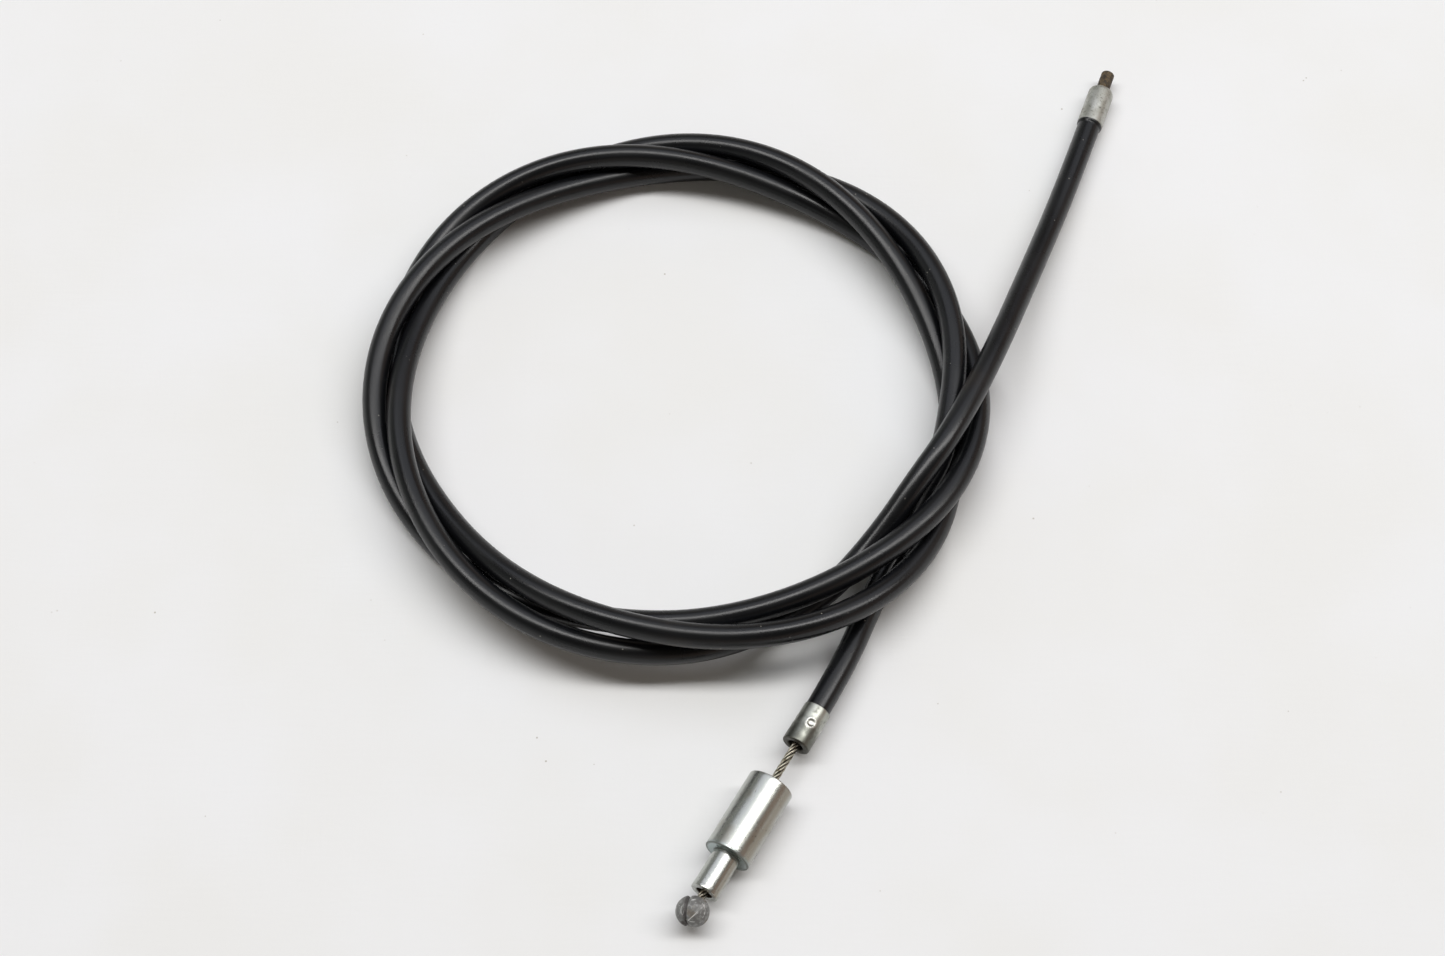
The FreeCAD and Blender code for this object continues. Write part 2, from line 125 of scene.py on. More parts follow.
@dataclass
class Surface:
    """A material being built: its tree, its main shader and its place in millimetres."""

    name: str
    attribute: str = ""
    material: bpy.types.Material = field(init=False)
    tree: bpy.types.NodeTree = field(init=False)
    shader: bpy.types.Node = field(init=False)
    place: bpy.types.NodeSocket = field(init=False)

    def __post_init__(self) -> None:
        """Makes the material, empties its tree and adds its shader and coordinates."""
        self.material = bpy.data.materials.new(self.name)
        self.material.use_nodes = True
        self.tree = self.material.node_tree
        self.tree.nodes.clear()
        self.shader = self.add("BsdfPrincipled")
        self.add("OutputMaterial", {"Surface": self.shader.outputs["BSDF"]})
        if self.attribute:
            self.place = self.add("Attribute", attribute_name=self.attribute).outputs["Vector"]
        else:
            where = self.add("TexCoord").outputs["Object"]
            scaled = self.add("VectorMath", {0: where, "Scale": 1 / MM}, operation="SCALE")
            self.place = scaled.outputs["Vector"]

    def add(self, kind: str, inputs: dict | None = None, **settings: object) -> bpy.types.Node:
        """Adds a node to this material's tree."""
        return add_node(self.tree, kind, inputs, **settings)

    def pattern(self, size: float, detail: float = 3.0, stretch: Place = (1, 1, 1),
                rough: float = 0.55) -> bpy.types.NodeSocket:
        """Cloudy pattern whose features are about a real size across.

        Args:
            size: Feature size in millimetres.
            detail: Octaves of finer pattern.
            stretch: How much the place is squeezed along each axis.
            rough: Weight of the finer octaves.

        Returns:
            Socket with values from 0 to 1.
        """
        moved = self.add("Mapping", {"Vector": self.place, "Scale": stretch}).outputs["Vector"]
        inputs = {"Vector": moved, "Scale": 1 / size, "Detail": detail, "Roughness": rough}
        return self.add("TexNoise", inputs).outputs["Fac"]

    def specks(self, spacing: float, size: float, thinned: bpy.types.NodeSocket) -> bpy.types.NodeSocket:
        """Scattered spots.

        Args:
            spacing: Mean distance between spots in millimetres.
            size: Radius of a spot in millimetres.
            thinned: Socket that is 0 where there are no spots.

        Returns:
            Socket that is 1 in a spot and 0 elsewhere.
        """
        cells = self.add("TexVoronoi", {"Vector": self.place, "Scale": 1 / spacing, "Randomness": 1.0})
        spot = self.between(cells.outputs["Distance"], (size / spacing, 0.5 * size / spacing))
        return self.math("MULTIPLY", spot, thinned)

    def between(self, value: bpy.types.NodeSocket, source: Range = (0.0, 1.0),
                result: Range = (0.0, 1.0)) -> bpy.types.NodeSocket:
        """Maps a value smoothly from one range to another, clamped at both ends.

        Args:
            value: Socket to map.
            source: Values that give the two ends of the result.
            result: The two ends.

        Returns:
            Socket with the mapped value.
        """
        inputs = {"Value": value, "From Min": source[0], "From Max": source[1],
                  "To Min": result[0], "To Max": result[1]}
        return self.add("MapRange", inputs, interpolation_type="SMOOTHSTEP").outputs["Result"]

    def math(self, operation: str, *values: bpy.types.NodeSocket | float) -> bpy.types.NodeSocket:
        """Result of a sum on sockets or numbers."""
        return self.add("Math", dict(enumerate(values)), operation=operation).outputs[0]

    def value_of(self, attribute: str) -> bpy.types.NodeSocket:
        """Value that the mesh carries at each point."""
        return self.add("Attribute", attribute_name=attribute).outputs["Fac"]

    def mix(self, factor: bpy.types.NodeSocket, first: bpy.types.NodeSocket | str,
            second: bpy.types.NodeSocket | str) -> bpy.types.NodeSocket:
        """Adds a mix of two colours.

        Args:
            factor: Share of the second colour.
            first: Socket or hexadecimal colour.
            second: Socket or hexadecimal colour.

        Returns:
            The mixed colour.
        """
        pair = [linear(colour) if isinstance(colour, str) else colour for colour in (first, second)]
        inputs = {FACTOR: factor, FIRST: pair[0], SECOND: pair[1]}
        return self.add("Mix", inputs, data_type="RGBA").outputs[2]

    def relief(self, height: bpy.types.NodeSocket, depth: float,
               under: bpy.types.NodeSocket | None = None) -> bpy.types.NodeSocket:
        """Bump of a real depth in millimetres.

        Args:
            height: Socket with the pattern, from 0 to 1.
            depth: Its depth, negative for hollows.
            under: Another bump that this one lies on.

        Returns:
            Socket with the bumped normal.
        """
        inputs = {"Height": height, "Strength": 1.0, "Distance": depth * MM}
        if under is not None:
            inputs["Normal"] = under
        return self.add("Bump", inputs).outputs["Normal"]

    def set(self, **sockets: object) -> bpy.types.Material:
        """Fills or links sockets of the main shader.

        Args:
            sockets: Values by socket name, with _ for a space.

        Returns:
            The finished material.
        """
        for name, value in sockets.items():
            target = self.shader.inputs[name.replace("_", " ")]
            if isinstance(value, bpy.types.NodeSocket):
                self.tree.links.new(value, target)
            else:
                target.default_value = value
        return self.material


# Finishes
# A range named _where says at which values of a pattern it starts to show and shows fully.

WHOLE: Range = (0.3, 0.7)


@dataclass(frozen=True)
class ExtrudedVinyl:
    """Black plasticised PVC, extruded over the conduit: satin, with faint draw lines and dust."""

    base: str = "#0c0d0f"
    worn: str = "#16171a"
    smudge: str = "#261e18"
    dust: str = "#8b8880"
    index: float = 1.53
    gloss_level: float = 0.38
    roughness: Range = (0.24, 0.33)
    roughness_where: Range = (0.35, 0.65)
    worn_where: Range = (0.45, 0.75)
    smudge_size: float = 22.0
    smudge_where: Range = (0.60, 0.72)
    smudge_strength: float = 0.55
    dust_spacing: float = 2.3
    dust_size: float = 0.2
    dust_strength: float = 0.8
    dust_drift: float = 9.0
    dust_where: Range = (0.48, 0.60)
    # Real draw lines are 0.1 to 0.3 mm wide and the grain is finer; both are drawn coarser so that they show.
    line_width: float = 0.9
    line_depth: float = 0.02
    line_stretch: Place = (1, 1, 0.03)
    grain: float = 0.35
    grain_depth: float = 0.012

    def make(self) -> bpy.types.Material:
        """Builds the material on the straightened cable's own coordinates."""
        look = Surface("extruded_black_pvc", attribute="straight_place")
        lines = look.pattern(self.line_width, stretch=self.line_stretch)
        cloud = look.pattern(self.smudge_size, detail=5)
        worn = look.mix(look.between(lines, self.worn_where), self.base, self.worn)
        smudges = look.between(cloud, self.smudge_where, (0, self.smudge_strength))
        smudged = look.mix(smudges, worn, self.smudge)
        drift = look.between(look.pattern(self.dust_drift), self.dust_where)
        specks = look.specks(self.dust_spacing, self.dust_size, drift)
        dust = look.between(specks, result=(0, self.dust_strength))
        grain = look.pattern(self.grain, detail=2)
        return look.set(Base_Color=look.mix(dust, smudged, self.dust), IOR=self.index,
                        Specular_IOR_Level=self.gloss_level,
                        Roughness=look.between(cloud, self.roughness_where, self.roughness),
                        Normal=look.relief(grain, self.grain_depth, look.relief(lines, self.line_depth)))


@dataclass(frozen=True)
class TurnedZinc:
    """Steel turned on a lathe and bright zinc plated: a soft mirror, with rings, pits, stains and a painted
    dark reflection band.
    """

    base: str = "#b7b9b4"
    stain: str = "#999486"
    # Colour of a painted dark reflection: a brown band along one side of the bush.
    tarnish_and_painted_reflection: str = "#857b6b"
    passivated: str = "#9db1b3"
    pit: str = "#3c3a38"
    grime_and_painted_shade: str = "#4a3d2e"
    roughness: Range = (0.24, 0.31)
    roughness_where: Range = (0.35, 0.75)
    grime_roughness: float = 0.4
    grime_metal: float = 0.35
    stain_size: float = 4.5
    stain_stretch: Place = (1, 1, 0.6)
    stain_where: Range = (0.50, 0.78)
    stain_strength: float = 0.75
    pit_spacing: float = 0.95
    pit_size: float = 0.17
    pit_depth: float = 0.03
    pit_drift: float = 3.0
    pit_where: Range = (0.45, 0.57)
    # A lathe's feed marks are about 0.08 mm apart, and are drawn twice as wide so that they show.
    ring_width: float = 0.16
    ring_stretch: Place = (0.02, 0.02, 1)
    ring_depth: float = 0.004

    def make(self) -> bpy.types.Material:
        """Builds the material on the fitting's own coordinates."""
        look = Surface("bright_zinc_turned_steel")
        rings = look.pattern(self.ring_width, detail=1, stretch=self.ring_stretch)
        stain = look.pattern(self.stain_size, detail=6, stretch=self.stain_stretch)
        grime_and_painted_shade = look.value_of("grime_and_painted_shade")
        drift = look.between(look.pattern(self.pit_drift), self.pit_where)
        pits = look.specks(self.pit_spacing, self.pit_size, drift)
        stains = look.between(stain, self.stain_where, (0, self.stain_strength))
        colour = look.mix(stains, self.base, self.stain)
        # The first layer is the painted dark reflection band.
        layers = ((look.value_of("tarnish_and_painted_reflection"), self.tarnish_and_painted_reflection), (look.value_of("blue"), self.passivated),
                  (pits, self.pit), (grime_and_painted_shade, self.grime_and_painted_shade))
        for share, layer in layers:
            colour = look.mix(share, colour, layer)
        clean = look.between(stain, self.roughness_where, self.roughness)
        added = look.between(grime_and_painted_shade, result=(0, self.grime_roughness))
        return look.set(Base_Color=colour, Metallic=look.between(grime_and_painted_shade, result=(1.0, self.grime_metal)),
                        Roughness=look.math("ADD", clean, added),
                        Normal=look.relief(pits, -self.pit_depth, look.relief(rings, self.ring_depth)))


@dataclass(frozen=True)
class WornZinc:
    """Drawn steel cup, zinc plated and rubbed: pale at the rim and dark towards the mouth, with painted
    highlights in its crimp marks.
    """

    pale: str = "#b0b2aa"
    dark: str = "#6e6f68"
    grime_and_painted_shade: str = "#3f3d37"
    # Near-white painted highlight in the crimp marks and on the swell round them.
    painted_highlight: str = "#efeee8"
    fade_along: Range = (-6.9, -1.9)
    drift: float = 3.4
    drift_reach: float = 1.5
    mottle: float = 1.3
    mottle_depth: float = 0.02
    mottle_where: Range = (0.5, 0.8)
    mottle_strength: float = 0.6
    roughness: Range = (0.30, 0.48)

    def make(self) -> bpy.types.Material:
        """Builds the material on the ferrule's own coordinates."""
        look = Surface("worn_zinc_drawn_steel")
        along = look.add("SeparateXYZ", {"Vector": look.place}).outputs["Z"]
        drift = look.between(look.pattern(self.drift), WHOLE, (-self.drift_reach, self.drift_reach))
        banded = look.mix(look.between(look.math("ADD", along, drift), self.fade_along), self.pale, self.dark)
        mottled = look.pattern(self.mottle, detail=5)
        patches = look.between(mottled, self.mottle_where, (0, self.mottle_strength))
        dirty = look.mix(patches, banded, self.grime_and_painted_shade)
        grimed = look.mix(look.value_of("grime_and_painted_shade"), dirty, self.grime_and_painted_shade)
        # The crimp marks and their swell get a painted highlight.
        return look.set(Base_Color=look.mix(look.value_of("crimp_highlight"), grimed, self.painted_highlight), Metallic=1.0,
                        Roughness=look.between(mottled, WHOLE, self.roughness),
                        Normal=look.relief(mottled, self.mottle_depth))


@dataclass(frozen=True)
class SpeckledZinc:
    """Drawn steel cup with a dull zinc coat, freckled where it has oxidised."""

    base: str = "#aaaaa2"
    freckle: str = "#5f6058"
    pale: str = "#c0c1bc"
    grime_and_painted_shade: str = "#3b372e"
    freckle_size: float = 0.5
    freckle_depth: float = 0.012
    freckle_where: Range = (0.54, 0.68)
    cloud_size: float = 2.4
    pale_where: Range = (0.4, 0.7)
    thinned_where: Range = (0.62, 0.38)
    thinned: Range = (0.25, 1.0)
    roughness: Range = (0.42, 0.58)
    roughness_where: Range = (0.35, 0.7)

    def make(self) -> bpy.types.Material:
        """Builds the material on the ferrule's own coordinates."""
        look = Surface("freckled_zinc_drawn_steel")
        freckles = look.pattern(self.freckle_size, detail=4)
        cloud = look.pattern(self.cloud_size, detail=3)
        lifted = look.mix(look.between(cloud, self.pale_where), self.base, self.pale)
        spots = look.math("MULTIPLY", look.between(freckles, self.freckle_where),
                          look.between(cloud, self.thinned_where, self.thinned))
        dotted = look.mix(spots, lifted, self.freckle)
        return look.set(Base_Color=look.mix(look.value_of("grime_and_painted_shade"), dotted, self.grime_and_painted_shade), Metallic=1.0,
                        Roughness=look.between(freckles, self.roughness_where, self.roughness),
                        Normal=look.relief(freckles, self.freckle_depth))


@dataclass(frozen=True)
class Scratch:
    """Scratch where a plane crosses the ball: the plane's normal and offset, and the scratch's half width."""

    normal: Place
    offset: float
    width: float


@dataclass(frozen=True)
class CastZincAlloy:
    """Die-cast zinc alloy, oxidised to a dull dark grey, with pale scratches, and painted shade in its
    groove.
    """

    base: str = "#929391"
    dark: str = "#6b6b69"
    light: str = "#b0b0b1"
    brown: str = "#6f6353"
    scratch: str = "#f0f0ee"
    # Painted shade in the groove between the lobes, and a darker colour in the pit at the wire's end.
    groove: str = "#565251"
    metal: float = 0.35
    roughness: Range = (0.52, 0.68)
    mottle: float = 1.1
    mottle_depth: float = 0.05
    dark_where: Range = (0.42, 0.62)
    brown_size: float = 2.2
    brown_where: Range = (0.55, 0.68)
    brown_strength: float = 0.6
    vein: float = 0.5
    vein_depth: float = 0.02
    vein_where: Range = (0.56, 0.72)
    vein_strength: float = 0.7
    broken_size: float = 1.6
    broken_where: Range = (0.44, 0.56)
    scratch_core: float = 0.3
    scratches: tuple[Scratch, ...] = (
        Scratch((0.93, -0.25, 0.25), 0.75, 0.06),
        Scratch((0.88, -0.20, 0.40), 1.15, 0.04),
        Scratch((0.15, 0.95, 0.25), 2.35, 0.05),
        Scratch((0.70, 0.10, 0.70), -0.9, 0.035),
    )

    def make(self) -> bpy.types.Material:
        """Builds the material on the ball's own coordinates."""
        look = Surface("cast_zinc_alloy")
        mottled = look.pattern(self.mottle, detail=6, rough=0.65)
        veins = look.pattern(self.vein, detail=4)
        colour = look.mix(look.between(mottled, self.dark_where), self.dark, self.base)
        browned = look.between(look.pattern(self.brown_size), self.brown_where, (0, self.brown_strength))
        colour = look.mix(browned, colour, self.brown)
        colour = look.mix(look.between(veins, self.vein_where, (0, self.vein_strength)), colour, self.light)
        broken = look.between(look.pattern(self.broken_size), self.broken_where)
        for scratch in self.scratches:
            facing = look.add("VectorMath", {0: look.place, 1: scratch.normal}, operation="DOT_PRODUCT")
            distance = look.math("ABSOLUTE", look.math("SUBTRACT", facing.outputs["Value"], scratch.offset))
            line = look.between(distance, (scratch.width, scratch.width * self.scratch_core))
            colour = look.mix(look.math("MULTIPLY", line, broken), colour, self.scratch)
        # The mesh's value paints shade into the groove and darkens the pit.
        return look.set(Base_Color=look.mix(look.value_of("grime_and_painted_shade"), colour, self.groove), Metallic=self.metal,
                        Roughness=look.between(mottled, WHOLE, self.roughness),
                        Normal=look.relief(mottled, self.mottle_depth, look.relief(veins, self.vein_depth)))


@dataclass(frozen=True)
class RustedSteel:
    """Turned steel, browned all over by rust: matt and grainy."""

    base: str = "#574a38"
    dark: str = "#2b251c"
    orange: str = "#7d6849"
    metal: float = 0.2
    roughness: Range = (0.52, 0.8)
    grain: float = 0.45
    grain_depth: float = 0.04
    patch: float = 1.35
    patch_depth: float = 0.08
    dark_where: Range = (0.38, 0.62)
    orange_where: Range = (0.52, 0.70)
    orange_strength: float = 0.8

    def make(self) -> bpy.types.Material:
        """Builds the material on the barrel's own coordinates."""
        look = Surface("rusted_turned_steel")
        patches = look.pattern(self.patch, detail=5)
        grain = look.pattern(self.grain, detail=4)
        brown = look.mix(look.between(patches, self.dark_where), self.dark, self.base)
        flecks = look.between(grain, self.orange_where, (0, self.orange_strength))
        return look.set(Base_Color=look.mix(flecks, brown, self.orange), Metallic=self.metal,
                        Roughness=look.between(grain, WHOLE, self.roughness),
                        Normal=look.relief(patches, self.patch_depth, look.relief(grain, self.grain_depth)))


@dataclass(frozen=True)
class StrandedSteel:
    """Twisted steel wires, bright on their crowns and dark with old grease between."""

    base: str = "#c9c4b4"
    tarnish_and_painted_reflection: str = "#7c735f"
    grease: str = "#2a251b"
    cloud: float = 1.2
    tarnish_where: Range = (0.42, 0.66)
    crown_where: Range = (0.45, 0.95)
    metal_where: Range = (0.2, 0.6)
    metal: Range = (0.3, 1.0)
    roughness: Range = (0.25, 0.42)

    def make(self) -> bpy.types.Material:
        """Builds the material from the crown value that the strands carry."""
        look = Surface("stranded_steel_wire")
        crown = look.value_of("crown")
        cloud = look.pattern(self.cloud, detail=4)
        steel = look.mix(look.between(cloud, self.tarnish_where), self.base, self.tarnish_and_painted_reflection)
        return look.set(Base_Color=look.mix(look.between(crown, self.crown_where), self.grease, steel),
                        Metallic=look.between(crown, self.metal_where, self.metal),
                        Roughness=look.between(cloud, WHOLE, self.roughness))


@dataclass(frozen=True)
class RolledWire:
    """Flat steel wire of the conduit, rolled and oiled: grey, with brown oil in patches."""

    base: str = "#8f8f90"
    oil: str = "#4b4640"
    cloud: float = 0.8
    oil_where: Range = (0.45, 0.7)
    roughness: Range = (0.28, 0.45)

    def make(self) -> bpy.types.Material:
        """Builds the material on the end's own coordinates."""
        look = Surface("rolled_flat_steel_wire")
        cloud = look.pattern(self.cloud, detail=4)
        return look.set(Base_Color=look.mix(look.between(cloud, self.oil_where), self.base, self.oil),
                        Metallic=1.0, Roughness=look.between(cloud, WHOLE, self.roughness))


@dataclass(frozen=True)
class ExtrudedNylon:
    """Thin natural nylon liner, extruded: milky, and yellowed by grease."""

    base: str = "#e3ddc9"
    aged: str = "#b9a882"
    index: float = 1.53
    cloud: float = 1.5
    aged_where: Range = (0.4, 0.7)
    roughness: Range = (0.35, 0.5)

    def make(self) -> bpy.types.Material:
        """Builds the material on the end's own coordinates."""
        look = Surface("extruded_natural_nylon")
        cloud = look.pattern(self.cloud, detail=4)
        return look.set(Base_Color=look.mix(look.between(cloud, self.aged_where), self.base, self.aged),
                        IOR=self.index, Roughness=look.between(cloud, WHOLE, self.roughness))


@dataclass(frozen=True)
class CoatedBoard:
    """Pale coated board of the table top: matt and almost white, with a faint grain and a few marks."""

    base: str = "#ecedee"
    darker: str = "#e8e8e5"
    mark: str = "#aba398"
    roughness: float = 0.7
    gloss_level: float = 0.12
    # A coated board's grain is about 0.4 mm, and is drawn coarser so that it shows.
    grain: float = 1.1
    grain_squeeze: float = 0.15
    grain_depth: float = 0.05
    cloud: float = 60.0
    cloud_strength: float = 0.6
    mark_spacing: float = 6.0
    mark_size: float = 0.3
    mark_drift: float = 28.0
    mark_where: Range = (0.48, 0.60)
    mark_strength: float = 0.7

    def make(self) -> bpy.types.Material:
        """Builds the material on the table's own coordinates."""
        look = Surface("pale_coated_board")
        across = look.pattern(self.grain, detail=2, stretch=(1, self.grain_squeeze, 1))
        upward = look.pattern(self.grain, detail=2, stretch=(self.grain_squeeze, 1, 1))
        cloud = look.between(look.pattern(self.cloud), WHOLE, (0, self.cloud_strength))
        drift = look.between(look.pattern(self.mark_drift), self.mark_where)
        specks = look.specks(self.mark_spacing, self.mark_size, drift)
        marks = look.between(specks, result=(0, self.mark_strength))
        tone = look.mix(cloud, self.base, self.darker)
        return look.set(Base_Color=look.mix(marks, tone, self.mark), Roughness=self.roughness,
                        Specular_IOR_Level=self.gloss_level,
                        Normal=look.relief(look.math("MULTIPLY", across, upward), self.grain_depth))


# Meshes


def circle(segments: int) -> list[tuple[float, float]]:
    """Cosine and sine of each step round a circle."""
    angles = [2 * math.pi * step / segments for step in range(segments)]
    return [(math.cos(angle), math.sin(angle)) for angle in angles]


def off_axis(point: Vector) -> float:
    """Distance of a point from local Z."""
    return math.hypot(point.x, point.y)


def pushed_in(point: Vector, depth: float) -> Vector:
    """Point moved straight towards local Z."""
    share = 1 - depth / off_axis(point)
    return Vector((point.x * share, point.y * share, point.z))


def smooth_step(value: float, low: float, high: float) -> float:
    """0 at low, 1 at high and smooth between."""
    share = max(0.0, min(1.0, (value - low) / (high - low)))
    return share * share * (3 - 2 * share)


def bell(value: float, middle: float, width: float) -> float:
    """1 at the middle, falling off smoothly to both sides."""
    return math.exp(-((value - middle) / width) ** 2)


@dataclass
class Draft:
    """Points in millimetres, faces and values of a mesh that is being built."""

    points: list[Vector] = field(default_factory=list)
    faces: list[tuple[int, ...]] = field(default_factory=list)
    values: dict[str, list] = field(default_factory=dict)

    def ring(self, points: Sequence[Vector]) -> list[int]:
        """Adds points.

        Args:
            points: Points in millimetres.

        Returns:
            Their numbers in the draft.
        """
        start = len(self.points)
        self.points.extend(points)
        return list(range(start, len(self.points)))

    def skin(self, rings: Sequence[list[int]]) -> None:
        """Joins each ring to the next with a band of quads.

        Args:
            rings: Numbers of the points of each ring, as many in one as in the other.
        """
        for first, second in zip(rings, rings[1:]):
            for here, _ in enumerate(first):
                there = (here + 1) % len(first)
                self.faces.append((first[here], first[there], second[there], second[here]))

    def cap(self, ring: list[int]) -> None:
        """Closes a ring with triangles to its middle.

        Args:
            ring: Numbers of the ring's points, in order.
        """
        middle = sum((self.points[number] for number in ring), Vector()) / len(ring)
        centre = self.ring([middle])[0]
        for here, there in zip(ring, ring[1:] + ring[:1]):
            self.faces.append((here, there, centre))

    def tube(self, rings: Sequence[list[int]]) -> None:
        """Joins rings into a tube that is closed at both ends.

        Args:
            rings: Numbers of the points of each ring, from one end to the other.
        """
        self.skin(rings)
        self.cap(rings[0])
        self.cap(rings[-1])

    def mesh(self, name: str, sharp: float = 38.0, weld: bool = False) -> bpy.types.Mesh:
        """Makes the mesh in metres, shaded smooth but for edges over an angle.

        Args:
            name: Name of the mesh.
            sharp: Least angle of a sharp edge, in degrees.
            weld: Whether points in one place become one.

        Returns:
            The mesh, with its values as point attributes.
        """
        made = bpy.data.meshes.new(name)
        made.from_pydata([point * MM for point in self.points], [], self.faces)
        for key, values in self.values.items():
            vector = isinstance(values[0], Vector)
            layer = made.attributes.new(key, "FLOAT_VECTOR" if vector else "FLOAT", "POINT")
            flat = [part for value in values for part in value] if vector else values
            layer.data.foreach_set("vector" if vector else "value", flat)
        tidy = bmesh.new()
        tidy.from_mesh(made)
        if weld:
            bmesh.ops.remove_doubles(tidy, verts=tidy.verts, dist=WELD_METRES)
        bmesh.ops.recalc_face_normals(tidy, faces=tidy.faces)
        tidy.to_mesh(made)
        tidy.free()
        made.shade_smooth()
        made.set_sharp_from_angle(angle=math.radians(sharp))
        return made


@dataclass(frozen=True)
class Corner:
    """Corner of a turned outline: its distance from the axis, its place and its rounding."""

    radius: float
    along: float
    round: float = 0.0

    def place(self) -> Vector:
        """The corner as a point of the outline."""
        return Vector((self.radius, self.along))


def rounded(corners: Sequence[Corner], steps: int = 4) -> list[Vector]:
    """Points of a closed outline, with an arc at each rounded corner.

    Args:
        corners: Corners in order round the section.
        steps: Straight steps that an arc gets.

    Returns:
        Radius and place of each outline point.
    """
    points = []
    for before, corner, after in zip([corners[-1], *corners[:-1]], corners, [*corners[1:], corners[0]]):
        here = corner.place()
        if corner.round == 0:
            points.append(here)
            continue
        way_in = (before.place() - here).normalized()
        way_out = (after.place() - here).normalized()
        half = way_in.angle(way_out) / 2
        centre = here + (way_in + way_out).normalized() * corner.round / math.sin(half)
        start = here + way_in * corner.round / math.tan(half) - centre
        end = here + way_out * corner.round / math.tan(half) - centre
        turn = math.atan2(start.x * end.y - start.y * end.x, start.dot(end))
        for step in range(steps + 1):
            across, up = math.cos(turn * step / steps), math.sin(turn * step / steps)
            points.append(centre + Vector((start.x * across - start.y * up, start.x * up + start.y * across)))
    return points


def refined(outline: Sequence[Vector], longest: float) -> list[Vector]:
    """Closed outline with points added.

    Args:
        outline: Points in order.
        longest: Longest step between two points.

    Returns:
        The points, old and new.
    """
    points = []
    for here, there in zip(outline, [*outline[1:], outline[0]]):
        parts = max(1, math.ceil((there - here).length / longest))
        points += [here.lerp(there, part / parts) for part in range(parts)]
    return points


def turned(outline: Sequence[Vector], segments: int, push: Callable[[Vector], Vector] | None = None,
           **values: Callable[[Vector], float]) -> Draft:
    """Revolves a closed outline about local Z.

    Args:
        outline: Radius and place of each point of the section.
        segments: Steps round the axis.
        push: Moves a point, for dents.
        values: Functions that give the value a point carries.

    Returns:
        The draft of the turned piece.
    """
    draft = Draft()
    rings = []
    for radius, along in outline:
        ring = [Vector((radius * across, radius * up, along)) for across, up in circle(segments)]
        rings.append(draft.ring([push(place) for place in ring] if push else ring))
    draft.skin([*rings, rings[0]])
    for key, value in values.items():
        draft.values[key] = [value(point) for point in draft.points]
    return draft


def add_piece(name: str, draft: Draft, body: Body, slot: Slot, material: bpy.types.Material,
              stands_for: Sequence[str], place: Matrix | None = None, **options: object) -> bpy.types.Object:
    """Adds a piece to the scene, puts it in place and lets it ride on its body.

    Args:
        name: Name of the piece.
        draft: Its mesh in the making.
        body: Body that it moves with.
        slot: Record slot of its finish; not used.
        material: Its material.
        stands_for: CAD nodes that it replaces.
        place: Where its own frame lies.
        options: Sharp angle and weld of its mesh.

    Returns:
        The new object.
    """
    mesh = draft.mesh(name, **options)
    piece = bpy.data.objects.new(name, mesh)
    bpy.context.scene.collection.objects.link(piece)
    if place is not None:
        piece.matrix_world = place
    mesh.materials.append(material)
    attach(piece, body.value)
    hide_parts(*stands_for)
    LOG.info("piece %s on %s: %d faces", name, body.value, len(mesh.polygons))
    return piece


# Where the two ends lie


@dataclass(frozen=True)
class CableEnd:
    """One end of the cable: the middle of its ferrule's mouth and the wire's way out."""

    mouth: Place
    bearing: float
    side: int

    def outward(self) -> Vector:
        """Level unit vector along the wire's way out."""
        angle = math.radians(self.bearing)
        return Vector((self.side * math.sin(angle), self.side * math.cos(angle), 0))

    def at(self, along: float) -> Vector:
        """Point on the end's axis, in millimetres."""
        return Vector(self.mouth) + self.outward() * along

    def placement(self) -> Matrix:
        """Matrix of the end's own frame, in metres."""
        way = self.outward()
        up = Vector((0, 0, 1))
        turn = Matrix((up.cross(way), up, way)).transposed().to_4x4()
        return Matrix.Translation(Vector(self.mouth) * MM) @ turn


LOWER_END = CableEnd((-27.45, -69.5, 5.0), 30.2, -1)
UPPER_END = CableEnd((48.82, 103.38, 3.03), 19.9, 1)


# Casing


@dataclass(frozen=True)
class Shift:
    """Stretch of the coil that lies off the plait: its middle and half width in degrees, and its reach."""

    middle: float
    half_width: float
    outward: float
    upward: float

    def weight(self, degrees: float) -> float:
        """Share of the shift at a place along the coil."""
        share = min(1.0, abs(degrees - self.middle) / self.half_width)
        return (1 + math.cos(math.pi * share)) / 2


